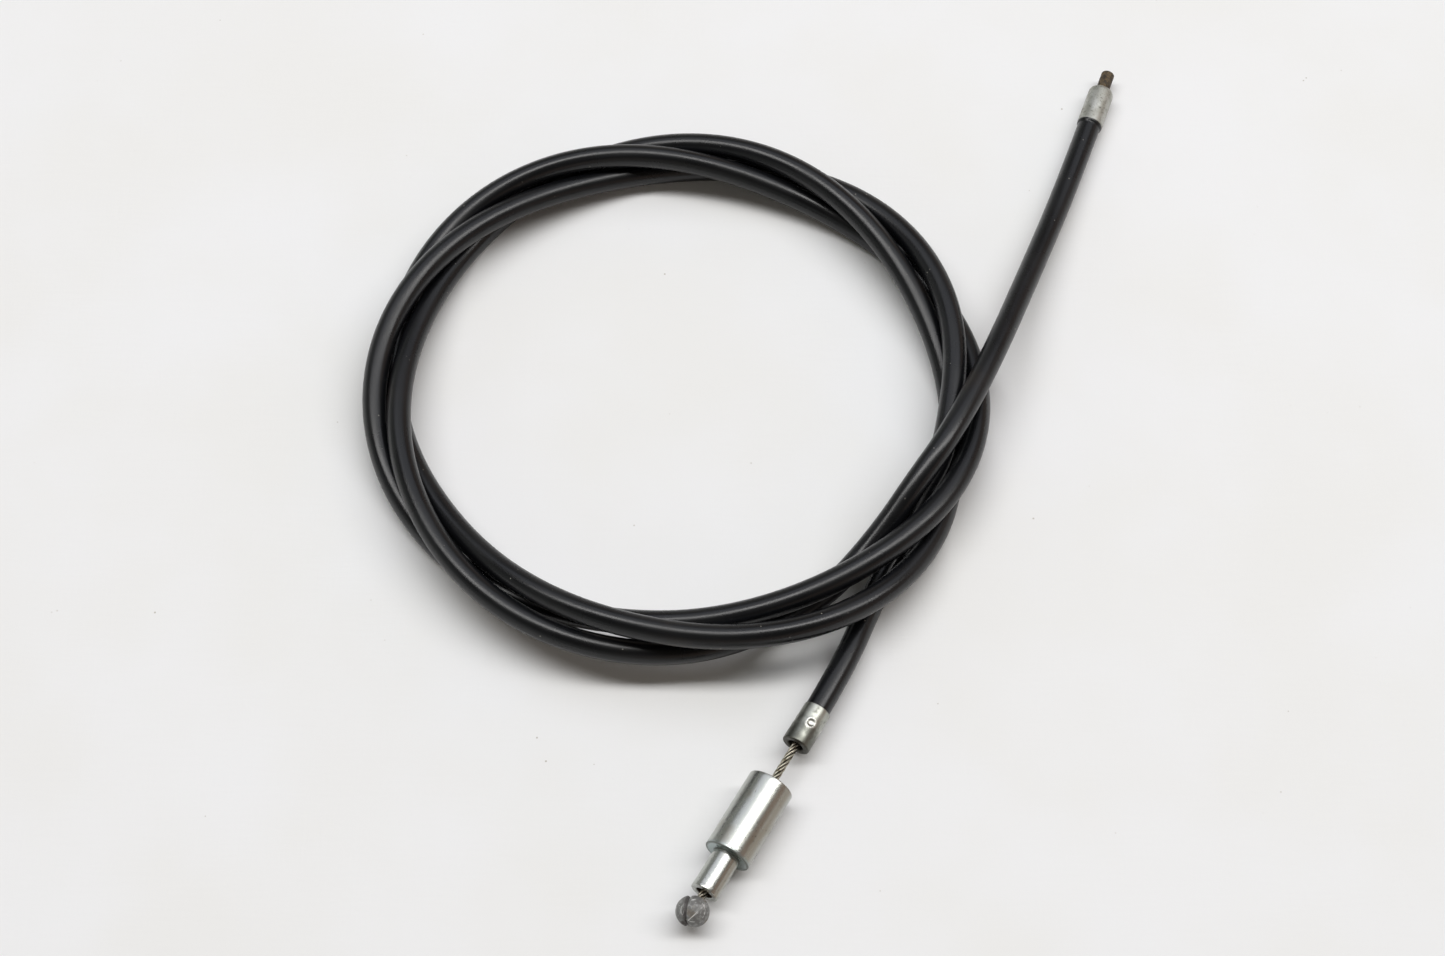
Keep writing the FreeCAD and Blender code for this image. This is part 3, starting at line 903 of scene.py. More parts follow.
@dataclass(frozen=True)
class CoilShape:
    """Three strands that plait round a slightly oval ring."""

    diameter: float = 5.4
    centre: tuple[float, float] = (-53.23, 17.98)
    ring: float = 63.25
    oval: float = 0.55
    oval_bearing: float = -22.3
    start: float = -5.0
    end: float = 1012.0
    gap: float = 0.66
    clearance: float = 0.22
    weaves: float = 7 / 3
    lead: float = -98.0
    swing: float = 15.3
    swing_bearing: float = 13.4
    step: float = 9.0
    # The last five follow the photograph's shadows, which show the front arc well above the table.
    shifts: tuple[Shift, ...] = (
        Shift(670.0, 44.0, 3.0, 0.0),
        Shift(664.0, 34.0, 0.0, 4.2),
        Shift(314.0, 46.0, 0.0, 1.2),
        Shift(342.0, 38.0, 0.9, 0.0),
        Shift(1032.0, 44.0, -1.9, 0.0),
        Shift(264.0, 55.0, 2.7, 4.7),
        Shift(624.0, 55.0, 2.7, 4.7),
        Shift(984.0, 55.0, 2.7, 4.7),
        Shift(625.0, 42.0, -0.9, 0.7),
        Shift(250.0, 30.0, -0.7, 0.0),
    )

    def point(self, degrees: float, spread: float = 1.0, plait: float = 1.0) -> Vector:
        """Point of the centre line; a strand that moves outward lies on top.

        Args:
            degrees: Place along the coil.
            spread: Factor on the ring's radius.
            plait: Factor on the strands' reach.

        Returns:
            The point in millimetres.
        """
        angle = math.radians(degrees)
        swing = self.swing * math.cos(math.radians(degrees - self.swing_bearing))
        phase = math.radians(self.weaves * degrees + self.lead - swing)
        oval = self.oval * math.cos(2 * math.radians(degrees - self.oval_bearing))
        out = sum(shift.outward * shift.weight(degrees) for shift in self.shifts)
        lift = sum(shift.upward * shift.weight(degrees) for shift in self.shifts)
        reach = (self.diameter + self.gap) / math.sqrt(3)
        radius = (self.ring + oval) * spread + reach * plait * math.cos(phase) + out
        height = self.diameter / 2 + reach + self.clearance - reach * plait * math.sin(phase) + lift
        x, y = self.centre
        return Vector((x + radius * math.cos(angle), y + radius * math.sin(angle), height))

    def way(self, degrees: float) -> Vector:
        """Unit vector along the centre line."""
        return (self.point(degrees + 0.5) - self.point(degrees - 0.5)).normalized()

    def control_points(self) -> list[Vector]:
        """Points of the turns, moved out by what the spline cuts inside them."""
        spread = 1 / math.cos(math.radians(self.step) / 2)
        plait = 1 / math.cos(math.radians(self.step * self.weaves) / 2)
        count = round((self.end - self.start) / self.step)
        places = [self.start + (self.end - self.start) * number / count for number in range(count + 1)]
        return [self.point(degrees, spread, plait) for degrees in places]


@dataclass(frozen=True)
class Station:
    """Place along the casing: its middle, its ways across and up, and its distance from the lower end."""

    middle: Vector
    across: Vector
    up: Vector
    reached: float


@dataclass(frozen=True)
class Casing:
    """Black jacket of the cable, from one ferrule to the other in one tube."""

    coil: CoilShape = CoilShape()
    length: float = 1396.3
    lower_floor: float = 1.0
    lower_straight: float = 20.0
    lower_route: tuple[Place, ...] = ((-10.4, -34.4, 2.7), (-4.0, -20.9, 2.7), (0.7, -10.5, 5.8))
    lower_lead: float = 14.0
    upper_floor: float = 1.5
    upper_straight: float = 29.0
    upper_route: tuple[Place, ...] = (
        (-14.6, -27.2, 4.2),
        (-6.9, -18.9, 8.5),
        (-0.6, -10.7, 12.9),
        (7.0, -0.1, 14.9),
        (16.7, 19.6, 13.0),
        (28.4, 49.2, 6.8),
    )
    upper_lead: float = 10.0
    lower_grip: float = 9.4
    upper_grip: float = 10.9
    neck: float = 0.15
    neck_step: float = 0.02
    lip_length: float = 0.8
    lip_height: float = 0.3
    lip_flat: float = 0.35
    lip_rings: tuple[float, ...] = (0.15, 0.4, 0.65, 1.0)
    bore: float = 1.98
    lower_bore: float = 17.0
    upper_bore: float = 16.0
    spacing: float = 1.3
    segments: int = 32
    smoothness: int = 12
    sharp: float = 60.0

    def route(self) -> list[Vector]:
        """Control points of the whole cable in millimetres, from the lower ferrule."""
        coil = self.coil
        return [
            LOWER_END.at(-self.lower_floor),
            LOWER_END.at(-self.lower_straight),
            *map(Vector, self.lower_route),
            coil.point(coil.start) - coil.way(coil.start) * self.lower_lead,
            *coil.control_points(),
            coil.point(coil.end) + coil.way(coil.end) * self.upper_lead,
            *map(Vector, self.upper_route),
            UPPER_END.at(-self.upper_straight),
            UPPER_END.at(-self.upper_floor),
        ]

    def centre_line(self) -> list[Vector]:
        """Evenly spaced points in millimetres, read from the route's spline."""
        curve = bpy.data.curves.new("casing_route", "CURVE")
        curve.dimensions = "3D"
        spline = curve.splines.new("NURBS")
        route = self.route()
        spline.points.add(len(route) - 1)
        for control, place in zip(spline.points, route):
            control.co = (*(place * MM), 1)
        spline.order_u = 3
        spline.use_endpoint_u = True
        spline.resolution_u = self.smoothness
        holder = bpy.data.objects.new("casing_route", curve)
        sampled = bpy.data.meshes.new_from_object(holder)
        line = [vertex.co / MM for vertex in sampled.vertices]
        bpy.data.objects.remove(holder)
        bpy.data.curves.remove(curve)
        bpy.data.meshes.remove(sampled)
        return self.evenly(line)

    def evenly(self, line: Sequence[Vector]) -> list[Vector]:
        """Shares a line out in equal steps.

        Args:
            line: Points in order.

        Returns:
            New points on the line, with both ends kept.
        """
        reached = [0.0]
        for here, there in zip(line, line[1:]):
            reached.append(reached[-1] + (there - here).length)
        count = round(reached[-1] / self.spacing)
        points, number = [], 0
        for step in range(count + 1):
            target = reached[-1] * step / count
            while number < len(line) - 2 and reached[number + 1] < target:
                number += 1
            share = (target - reached[number]) / max(reached[number + 1] - reached[number], SHORTEST)
            points.append(line[number].lerp(line[number + 1], min(1.0, share)))
        return points

    def radius(self, from_lower: float, from_upper: float) -> float:
        """Outer radius of the jacket: necked in the ferrules, with a raised lip behind the upper one.

        Args:
            from_lower: Distance from the line's lower end.
            from_upper: Distance from its upper end.

        Returns:
            The radius in millimetres.
        """
        full = self.coil.diameter / 2
        lower = self.lower_grip - self.lower_floor - from_lower
        upper = self.upper_grip - self.upper_floor - from_upper
        if max(lower, upper) > 0:
            return full - self.neck
        if upper > -self.lip_length:
            return full + self.lip_height * (1 - smooth_step(-upper / self.lip_length, self.lip_flat, 1.0))
        return full

    def build(self, material: bpy.types.Material) -> tuple[bpy.types.Object, list[Vector]]:
        """Makes the jacket: one tube, necked in the ferrules and bored for the conduit.

        Args:
            material: Finish of the jacket.

        Returns:
            The piece and its centre line in millimetres.
        """
        line = self.centre_line()
        draft = Draft(values={"straight_place": []})
        places = draft.values["straight_place"]
        rings = [self.ring(draft, station, radius) for station, radius in self.stations(line)]
        draft.tube(rings)
        places += [places[rings[0][0]], places[rings[-1][0]]]
        piece = add_piece("jacket", draft, Body.CASING, Slot.JACKET, material,
                          ("casing_lower_tail", "casing_coil", "casing_upper_tail"), sharp=self.sharp)
        return piece, line

    def stations(self, line: Sequence[Vector]) -> list[tuple[Station, float]]:
        """Works out the tube's rings: down one bore, along the outside and up the other bore.

        Args:
            line: Evenly spaced centre line.

        Returns:
            Place and radius of each ring.
        """
        spacing = sum((there - here).length for here, there in zip(line, line[1:])) / (len(line) - 1)
        total = spacing * (len(line) - 1)
        along = []
        side = Vector((0, 0, 1)).cross(line[1] - line[0]).normalized()
        for number, here in enumerate(line):
            way = (line[min(number + 1, len(line) - 1)] - line[max(number - 1, 0)]).normalized()
            side = (side - way * side.dot(way)).normalized()
            along.append(Station(here, side.copy(), way.cross(side), number * spacing))
        lower_rim = self.lower_grip - self.lower_floor
        upper_rim = total - (self.upper_grip - self.upper_floor)
        extra = [rim + step for rim in (lower_rim, upper_rim) for step in (-self.neck_step, self.neck_step)]
        extra += [upper_rim - self.lip_length * share for share in self.lip_rings]
        outer = sorted(along + [self.between(along, spacing, reached) for reached in extra],
                       key=lambda station: station.reached)
        lower = [station for station in along if station.reached < self.lower_bore - self.lower_floor]
        upper = [station for station in along if total - station.reached < self.upper_bore - self.upper_floor]
        return [*((station, self.bore) for station in reversed(lower)),
                *((station, self.radius(station.reached, total - station.reached)) for station in outer),
                *((station, self.bore) for station in reversed(upper))]

    def between(self, along: Sequence[Station], spacing: float, reached: float) -> Station:
        """Finds a place between two stations.

        Args:
            along: Stations at equal steps.
            spacing: Their step.
            reached: Distance of the place from the lower end.

        Returns:
            The station there.
        """
        number = min(len(along) - 2, int(reached / spacing))
        first, second = along[number], along[number + 1]
        middle = first.middle.lerp(second.middle, reached / spacing - number)
        return Station(middle, first.across, first.up, reached)

    def ring(self, draft: Draft, station: Station, radius: float) -> list[int]:
        """Adds one ring of the tube and its place on the straightened cable.

        Args:
            draft: Mesh that gets the ring.
            station: Where the ring lies.
            radius: Its radius.

        Returns:
            Numbers of its points.
        """
        flat = [(radius * across, radius * up) for across, up in circle(self.segments)]
        draft.values["straight_place"] += [Vector((across, up, station.reached)) for across, up in flat]
        return draft.ring([station.middle + station.across * across + station.up * up for across, up in flat])


# Conduit and liner at an end


@dataclass(frozen=True)
class ConduitEnd:
    """Stretch of wound flat wire and nylon liner inside one end of the casing."""

    end: CableEnd
    side: str
    floor: float
    depth: float
    outer: float = 1.95
    inner: float = 1.2
    pitch: float = 1.25
    slit: float = 0.07
    edge: float = 0.14
    segments: int = 28
    liner_outer: float = 1.17
    liner_inner: float = 0.95
    liner_edge: float = 0.05
    liner_segments: int = 40

    def build(self, wire: bpy.types.Material, nylon: bpy.types.Material) -> None:
        """Makes the wound conduit and the liner.

        Args:
            wire: Finish of the flat wire.
            nylon: Finish of the liner.
        """
        place = self.end.placement()
        add_piece(f"{self.side}_conduit_winding", self.winding(), Body.CASING, Slot.CONDUIT, wire,
                  (f"{self.side}_conduit",), place)
        liner = turned(rounded([
            Corner(self.liner_outer, -self.depth),
            Corner(self.liner_outer, -self.floor, self.liner_edge),
            Corner(self.liner_inner, -self.floor, self.liner_edge),
            Corner(self.liner_inner, -self.depth),
        ]), self.liner_segments)
        add_piece(f"{self.side}_liner_tube", liner, Body.CASING, Slot.LINER, nylon,
                  (f"{self.side}_liner",), place)

    def winding(self) -> Draft:
        """Flat wire wound in a close helix, with its outer edges broken."""
        draft = Draft()
        half = (self.pitch - self.slit) / 2
        section = [(self.inner, -half), (self.outer - self.edge, -half), (self.outer, -half + self.edge),
                   (self.outer, half - self.edge), (self.outer - self.edge, half), (self.inner, half)]
        turns = (self.depth - self.floor) / self.pitch - 1
        rings = []
        for step in range(round(turns * self.segments) + 1):
            angle = 2 * math.pi * step / self.segments
            along = -self.depth + self.pitch * (0.5 + step / self.segments)
            across, up = math.cos(angle), math.sin(angle)
            rings.append(draft.ring([Vector((radius * across, radius * up, along + offset))
                                     for radius, offset in section]))
        draft.tube(rings)
        return draft


# Inner wire


@dataclass(frozen=True)
class StrandedWire:
    """Inner wire at one end: strands twisted round a core, each of them twisted from finer wires."""

    name: str
    end: CableEnd
    body: Body
    start: float
    stop: float
    diameter: float = 1.7
    strands: int = 6
    lay: float = 9.0
    fine_wires: int = 6
    fine_lay: float = 3.6
    groove: float = 0.16
    groove_crown: float = 0.25
    bulge_crown: float = 0.9
    core_facing: float = 0.2
    facing_from: float = 0.2
    facing_to: float = 0.8
    end_crown: float = 0.6
    step: float = 0.22
    segments: int = 24
    sharp: float = 75.0

    def build(self, material: bpy.types.Material) -> bpy.types.Object:
        """Makes the strands.

        Args:
            material: Their finish.

        Returns:
            The piece.
        """
        draft = Draft(values={"crown": []})
        for number in range(self.strands):
            self.strand(draft, self.diameter / 3, 2 * math.pi * number / self.strands)
        self.strand(draft, 0.0, 2 * math.pi)
        return add_piece(self.name, draft, self.body, Slot.INNER_WIRE, material, (self.body.value,),
                         self.end.placement(), sharp=self.sharp)

    def strand(self, draft: Draft, offset: float, turn: float) -> None:
        """Adds one strand, with a bulge for each fine wire.

        Args:
            draft: Mesh that gets the strand.
            offset: Distance of the strand from the wire's axis.
            turn: Where it starts round the axis, in radians.
        """
        radius = self.diameter / 3 / 2
        count = math.ceil((self.stop - self.start) / self.step)
        rings = []
        for number in range(count + 1):
            along = self.start + (self.stop - self.start) * number / count
            around = turn + 2 * math.pi * along / self.lay
            x, y = math.cos(around), math.sin(around)
            middle = Vector((offset * x, offset * y, along))
            outward, across = Vector((x, y, 0)), Vector((-y, x, 0))
            points = []
            for step in range(self.segments):
                angle = 2 * math.pi * step / self.segments
                bulge = abs(math.cos(self.fine_wires / 2 * (angle + 2 * math.pi * along / self.fine_lay)))
                reach = radius * (1 - self.groove * (1 - bulge))
                points.append(middle + outward * reach * math.cos(angle) + across * reach * math.sin(angle))
                facing = 0.5 + 0.5 * math.cos(angle) if offset else self.core_facing
                crown = min(1.0, self.groove_crown + self.bulge_crown * bulge)
                draft.values["crown"].append(crown * smooth_step(facing, self.facing_from, self.facing_to))
            rings.append(draft.ring(points))
        draft.tube(rings)
        draft.values["crown"] += [self.end_crown, self.end_crown]


# Fittings


@dataclass(frozen=True)
class Fitting:
    """Fitting turned about the wire: what it is called, how finely it is meshed and what it rides on."""

    name: str
    node: str
    slot: Slot
    segments: int
    fineness: float
    arc_steps: int
    end: CableEnd = LOWER_END
    body: Body = Body.CASING

    def outline(self) -> list[Corner]:
        """Corners of the section in order."""
        raise NotImplementedError

    def moved(self, point: Vector) -> Vector:
        """Where a point of the clean fitting lies on the real one."""
        return point

    def marks(self) -> dict[str, Callable[[Vector], float]]:
        """Functions that give what each point carries for the finish, from 0 to 1."""
        return {}

    def build(self, material: bpy.types.Material) -> bpy.types.Object:
        """Makes the fitting.

        Args:
            material: Its finish.

        Returns:
            The piece.
        """
        outline = refined(rounded(self.outline(), self.arc_steps), self.fineness)
        draft = turned(outline, self.segments, self.moved, **self.marks())
        return add_piece(self.name, draft, self.body, self.slot, material, (self.node,), self.end.placement())


@dataclass(frozen=True)
class LowerFerrule(Fitting):
    """Drawn cup crimped on the casing with four round marks."""

    name: str = "lower_crimped_ferrule"
    node: str = "lower_ferrule"
    slot: Slot = Slot.LOWER_FERRULE
    segments: int = 144
    fineness: float = 0.16
    arc_steps: int = 6
    bore: float = 2.58
    rim_radius: float = 2.98
    mouth_radius: float = 3.10
    length: float = 9.4
    floor: float = 1.0
    hole: float = 1.7
    edge: float = 0.12
    mouth_edge: float = 0.35
    crimps: int = 4
    crimp_turn: float = 16.0
    crimp_from_rim: float = 4.3
    crimp_radius: float = 0.85
    crimp_depth: float = 0.24
    crimp_swell: float = 0.05
    swell_at: float = 1.25
    swell_width: float = 0.28
    # Painted highlight in the crimp marks and on the swell round them.
    highlight_from: float = 0.3
    highlight_to: float = 0.8
    swell_highlight: float = 0.45
    swell_highlight_at: float = 1.3
    swell_highlight_width: float = 0.3
    face_dirt: float = 0.75
    face_dirt_depth: float = 0.5
    hole_dirt_from: float = 0.2
    hole_dirt_to: float = 0.6
    rim_dirt: float = 0.4
    rim_dirt_depth: float = 0.3

    def outline(self) -> list[Corner]:
        """Corners of the section in order."""
        return [
            Corner(self.bore, -self.length),
            Corner(self.rim_radius, -self.length, self.edge),
            Corner(self.mouth_radius, 0.0, self.mouth_edge),
            Corner(self.hole, 0.0, self.mouth_edge),
            Corner(self.hole, -self.floor),
            Corner(self.bore, -self.floor),
        ]

    def from_crimps(self, point: Vector) -> list[float]:
        """Tells how far a point is from each crimp mark.

        Args:
            point: Point of the cup.

        Returns:
            Distances from the marks' middles, where a mark's radius is 1.
        """
        distances = []
        for number in range(self.crimps):
            centre = math.radians(90 - self.crimp_turn - number * 360 / self.crimps)
            around = (math.atan2(point.y, point.x) - centre + math.pi) % (2 * math.pi) - math.pi
            along = point.z + self.length - self.crimp_from_rim
            distances.append(math.hypot(around * off_axis(point), along) / self.crimp_radius)
        return distances

    def moved(self, point: Vector) -> Vector:
        """Moves a point of the outside for the crimp marks.

        Args:
            point: Point of the plain cup.

        Returns:
            The point, in where a mark is and out on the swell round it.
        """
        if off_axis(point) < self.rim_radius - self.edge:
            return point
        depth = 0.0
        for share in self.from_crimps(point):
            if share < 1:
                depth += self.crimp_depth * (1 - share * share)
            depth -= self.crimp_swell * bell(share, self.swell_at, self.swell_width)
        return pushed_in(point, depth)

    def crimp_highlight(self, point: Vector) -> float:
        """Paints highlights in the crimp marks and on the swell round them.

        Args:
            point: Point of the ferrule.

        Returns:
            How bright the painted highlight is, from 0 to 1.
        """
        if off_axis(point) < self.bore + self.edge / 2:
            return 0.0
        share = min(self.from_crimps(point))
        swell = self.swell_highlight * bell(share, self.swell_highlight_at, self.swell_highlight_width)
        return max(1 - smooth_step(share, self.highlight_from, self.highlight_to), swell)

    def grime_and_painted_shade(self, point: Vector) -> float:
        """Finds dirt, inside the hole, on the face and at the rim.

        Args:
            point: Point of the ferrule.

        Returns:
            How dirty it is, from 0 to 1.
        """
        face = smooth_step(point.z, -self.face_dirt_depth, 0.0) * self.face_dirt
        from_hole = off_axis(point) - self.hole
        inside = 1.0 - smooth_step(from_hole, self.hole_dirt_from, self.hole_dirt_to)
        rim = self.rim_dirt * (1 - smooth_step(point.z, -self.length, -self.length + self.rim_dirt_depth))
        return max(face, inside, rim)

    def marks(self) -> dict[str, Callable[[Vector], float]]:
        """Dirt and painted highlights."""
        return {"grime_and_painted_shade": self.grime_and_painted_shade, "crimp_highlight": self.crimp_highlight}


@dataclass(frozen=True)
class UpperFerrule(Fitting):
    """Deeper drawn cup with a rounded shoulder round its hole."""

    name: str = "upper_shouldered_ferrule"
    node: str = "upper_ferrule"
    slot: Slot = Slot.UPPER_FERRULE
    segments: int = 128
    fineness: float = 0.35
    arc_steps: int = 10
    end: CableEnd = UPPER_END
    bore: float = 2.58
    outer: float = 3.03
    length: float = 10.9
    floor: float = 1.5
    hole: float = 1.9
    shoulder: float = 1.1
    edge: float = 0.12
    unevenness: float = 0.02
    waviness: float = 0.6
    mouth_dirt: float = 0.8
    mouth_dirt_width: float = 0.5
    mouth_dirt_from: float = -1.2
    mouth_dirt_to: float = -0.1
    rim_dirt: float = 0.5
    rim_dirt_depth: float = 0.25

    def outline(self) -> list[Corner]:
        """Corners of the section in order."""
        return [
            Corner(self.bore, -self.length),
            Corner(self.outer, -self.length, self.edge),
            Corner(self.outer, 0.0, self.shoulder),
            Corner(self.hole, 0.0, self.edge),
            Corner(self.hole, -self.floor),
            Corner(self.bore, -self.floor),
        ]

    def moved(self, point: Vector) -> Vector:
        """Makes the drawn wall very slightly uneven, inwards only."""
        return pushed_in(point, self.unevenness * (0.5 + 0.5 * noise.noise(point * self.waviness)))

    def grime_and_painted_shade(self, point: Vector) -> float:
        """Finds dirt, in and round the hole and at the rim.

        Args:
            point: Point of the ferrule.

        Returns:
            How dirty it is, from 0 to 1.
        """
        radius = off_axis(point)
        if radius < self.hole + self.unevenness:
            return 1.0
        mouth = self.mouth_dirt * (1 - smooth_step(radius, self.hole, self.hole + self.mouth_dirt_width))
        mouth *= smooth_step(point.z, self.mouth_dirt_from, self.mouth_dirt_to)
        rim = self.rim_dirt * (1 - smooth_step(point.z, -self.length, -self.length + self.rim_dirt_depth))
        return max(mouth, rim)

    def marks(self) -> dict[str, Callable[[Vector], float]]:
        """Dirt alone."""
        return {"grime_and_painted_shade": self.grime_and_painted_shade}


@dataclass(frozen=True)
class StopBush(Fitting):
    """Stepped bush: a socket for the ferrule, a web on the wire and a hollow spigot."""

    name: str = "stepped_bush"
    node: str = "stop_bush"
    slot: Slot = Slot.BUSH
    segments: int = 160
    fineness: float = 0.6
    arc_steps: int = 5
    body: Body = Body.STOP_BUSH
    start: float = 10.15
    length: float = 18.2
    outer: float = 5.0
    edge: float = 0.25
    socket: float = 3.25
    socket_edge: float = 0.15
    socket_depth: float = 12.0
    web: float = 2.0
    guide: float = 0.95
    shoulder_edge: float = 0.2
    spigot: float = 2.95
    spigot_length: float = 9.2
    hollow: float = 2.35
    lip: float = 1.8
    lip_depth: float = 0.8
    lip_edge: float = 0.2
    lip_inner_edge: float = 0.1
    undercut: float = 0.12
    undercut_length: float = 0.4
    bead: float = 0.08
    bead_length: float = 0.9
    # Dirt and colour are full within _full of their place and gone at _reach.
    # A point nearer to a wall than _wall lies on it.
    socket_wall: float = 0.02
    blue_strength: float = 0.55
    blue_full: float = 0.05
    blue_reach: float = 0.6
    blue_from: float = 2.0
    blue_to: float = 2.6
    hollow_wall: float = 0.1
    socket_dirt: float = 0.55
    socket_dirt_from: float = 0.5
    socket_dirt_to: float = 4.0
    neck_dirt: float = 0.7
    neck_dirt_middle: float = 0.1
    neck_dirt_full: float = 0.1
    neck_dirt_reach: float = 0.5
    neck_wall: float = 0.05
    rim_dirt: float = 0.6
    rim_dirt_full: float = 0.05
    rim_dirt_reach: float = 0.3
    # Painted dark reflection: a brown band along the outside, turned this far from the top towards +X, with
    # this spread and strength.
    reflection_band_turn: float = 60.0
    reflection_band_spread: float = 19.0
    reflection_band_strength: float = 0.75

    def shoulder(self) -> float:
        """Place of the face that the spigot stands on."""
        return self.start + self.length

    def outline(self) -> list[Corner]:
        """Corners of the section in order."""
        shoulder, floor = self.shoulder(), self.start + self.socket_depth
        end = shoulder + self.spigot_length
        return [
            Corner(self.socket, self.start, self.socket_edge),
            Corner(self.outer, self.start, self.edge),
            Corner(self.outer, shoulder, self.shoulder_edge),
            Corner(self.spigot - self.undercut, shoulder),
            Corner(self.spigot - self.undercut, shoulder + self.undercut_length),
            Corner(self.spigot, shoulder + self.undercut_length + self.undercut),
            Corner(self.spigot, end - self.bead_length),
            Corner(self.spigot + self.bead, end - self.bead_length + self.bead),
            Corner(self.spigot + self.bead, end, self.edge),
            Corner(self.lip, end, self.lip_edge),
            Corner(self.lip, end - self.lip_depth, self.lip_inner_edge),
            Corner(self.hollow, end - self.lip_depth),
            Corner(self.hollow, floor + self.web),
            Corner(self.guide, floor + self.web),
            Corner(self.guide, floor),
            Corner(self.socket, floor),
        ]

    def blue(self, point: Vector) -> float:
        """Blue passivation on the shoulder's face and the root of the spigot."""
        near = 1 - smooth_step(abs(point.z - self.shoulder()), self.blue_full, self.blue_reach)
        return self.blue_strength * near * smooth_step(off_axis(point), self.blue_from, self.blue_to)

    def grime_and_painted_shade(self, point: Vector) -> float:
        """Finds rust and grease, inside the spigot, in the socket and the undercut and at both rims.

        Args:
            point: Point of the bush.

        Returns:
            How dirty it is, from 0 to 1.
        """
        radius = off_axis(point)
        shoulder, floor = self.shoulder(), self.start + self.socket_depth
        lip = shoulder + self.spigot_length - self.lip_edge
        if radius < self.hollow + self.hollow_wall and floor < point.z < lip:
            return 1.0
        dirt = 0.0
        if radius < self.socket + self.socket_wall and point.z < floor + self.socket_wall:
            deep = smooth_step(point.z - self.start, self.socket_dirt_from, self.socket_dirt_to)
            dirt = self.socket_dirt * deep
        if radius < self.spigot + self.neck_wall:
            from_neck = abs(point.z - shoulder - self.neck_dirt_middle)
            near = 1 - smooth_step(from_neck, self.neck_dirt_full, self.neck_dirt_reach)
            dirt = max(dirt, self.neck_dirt * near)
        if radius > self.outer - self.rim_dirt_reach:
            from_rim = min(point.z - self.start, shoulder - point.z)
            near = 1 - smooth_step(from_rim, self.rim_dirt_full, self.rim_dirt_reach)
            dirt = max(dirt, self.rim_dirt * near)
        return dirt

    def tarnish_and_painted_reflection(self, point: Vector) -> float:
        """Painted dark reflection: a brown band along the outside, on one side."""
        turn = math.degrees(math.atan2(point.x, point.y))
        return self.reflection_band_strength * bell(turn, self.reflection_band_turn, self.reflection_band_spread)

    def marks(self) -> dict[str, Callable[[Vector], float]]:
        """Dirt, blue passivation and a painted dark reflection."""
        return {"grime_and_painted_shade": self.grime_and_painted_shade, "blue": self.blue, "tarnish_and_painted_reflection": self.tarnish_and_painted_reflection}


@dataclass(frozen=True)
class BallNipple:
    """Two unequal lobes cast on the wire's end, with a groove between them."""

    centre: float = 42.0
    lobe: float = 3.2
    lobe_shift: float = 0.3
    groove_at: float = -0.7
    groove_half: float = 0.55
    groove_floor: float = 0.05
    groove_depth: float = 0.6
    # Painted shade in and beside the groove.
    groove_shade: float = 0.7
    groove_shade_from: float = 0.1
    lean: float = 19.0
    turn: float = 15.0
    pit: float = 0.95
    pit_edge: float = 0.12
    pit_depth: float = 0.55
    # Darker colour in the pit at the wire's end.
    pit_darkening: float = 0.9
    pit_darkening_from: float = 0.85
    pit_darkening_to: float = 1.10
    neck_from: float = 0.98
    neck_to: float = 1.33
    neck_depth: float = 0.35
    unevenness: float = 0.035
    waviness: float = 1.3
    segments: int = 128
    stations: int = 150
    sharp: float = 70.0

    def outline(self) -> list[Vector]:
        """Outline of the lobes and the groove, from pole to pole of the ball's own axis."""
        far = self.lobe + self.lobe_shift
        points = []
        for number in range(self.stations + 1):
            along = -far * math.cos(math.pi * number / self.stations)
            shift = self.lobe_shift if along > self.groove_at else -self.lobe_shift
            radius = math.sqrt(max(self.lobe ** 2 - (along - shift) ** 2, 0))
            from_groove = abs(along - self.groove_at)
            radius -= self.groove_depth * (1 - smooth_step(from_groove, self.groove_floor, self.groove_half))
            points.append(Vector((max(radius, 0), along)))
        return points

    def worn(self, point: Vector) -> Vector:
        """Moves a point for the pit, the neck and the cast unevenness.

        Args:
            point: Point of the clean ball.

        Returns:
            The point as it was cast.
        """
        depth = self.unevenness * (0.5 + 0.5 * noise.noise(point * self.waviness))
        radius = off_axis(point)
        if point.z > 0:
            past_pit = smooth_step(radius, self.pit - self.pit_edge, self.pit + self.pit_edge)
            depth += self.pit_depth * (1 - past_pit)
        else:
            depth += self.neck_depth * (1 - smooth_step(radius, self.neck_from, self.neck_to))
        return point - point.normalized() * depth

    def build(self, material: bpy.types.Material) -> bpy.types.Object:
        """Makes the ball: turned about its own axis, then set across the wire.

        Args:
            material: Its finish.

        Returns:
            The piece.
        """
        draft = Draft(values={"grime_and_painted_shade": []})
        lean = Matrix.Rotation(math.radians(90 + self.lean), 3, "Y")
        spin = Matrix.Rotation(math.radians(self.turn), 3, "Z") @ lean
        rings = []
        for radius, along in self.outline():
            points = [self.worn(spin @ Vector((radius * across, radius * up, along)))
                      for across, up in circle(self.segments)]
            # Each point carries painted shade near the groove and a darker value in the pit.
            near = 1 - smooth_step(abs(along - self.groove_at), self.groove_shade_from, self.groove_half)
            for point in points:
                pit = 1 - smooth_step(off_axis(point), self.pit_darkening_from, self.pit_darkening_to)
                draft.values["grime_and_painted_shade"].append(max(self.pit_darkening * pit, self.groove_shade * near))
            rings.append(draft.ring(points))
        draft.skin(rings)
        place = LOWER_END.placement() @ Matrix.Translation((0, 0, self.centre * MM))
        return add_piece("grooved_ball", draft, Body.LOWER_WIRE, Slot.BALL, material, ("ball_nipple",), place,
                         sharp=self.sharp, weld=True)


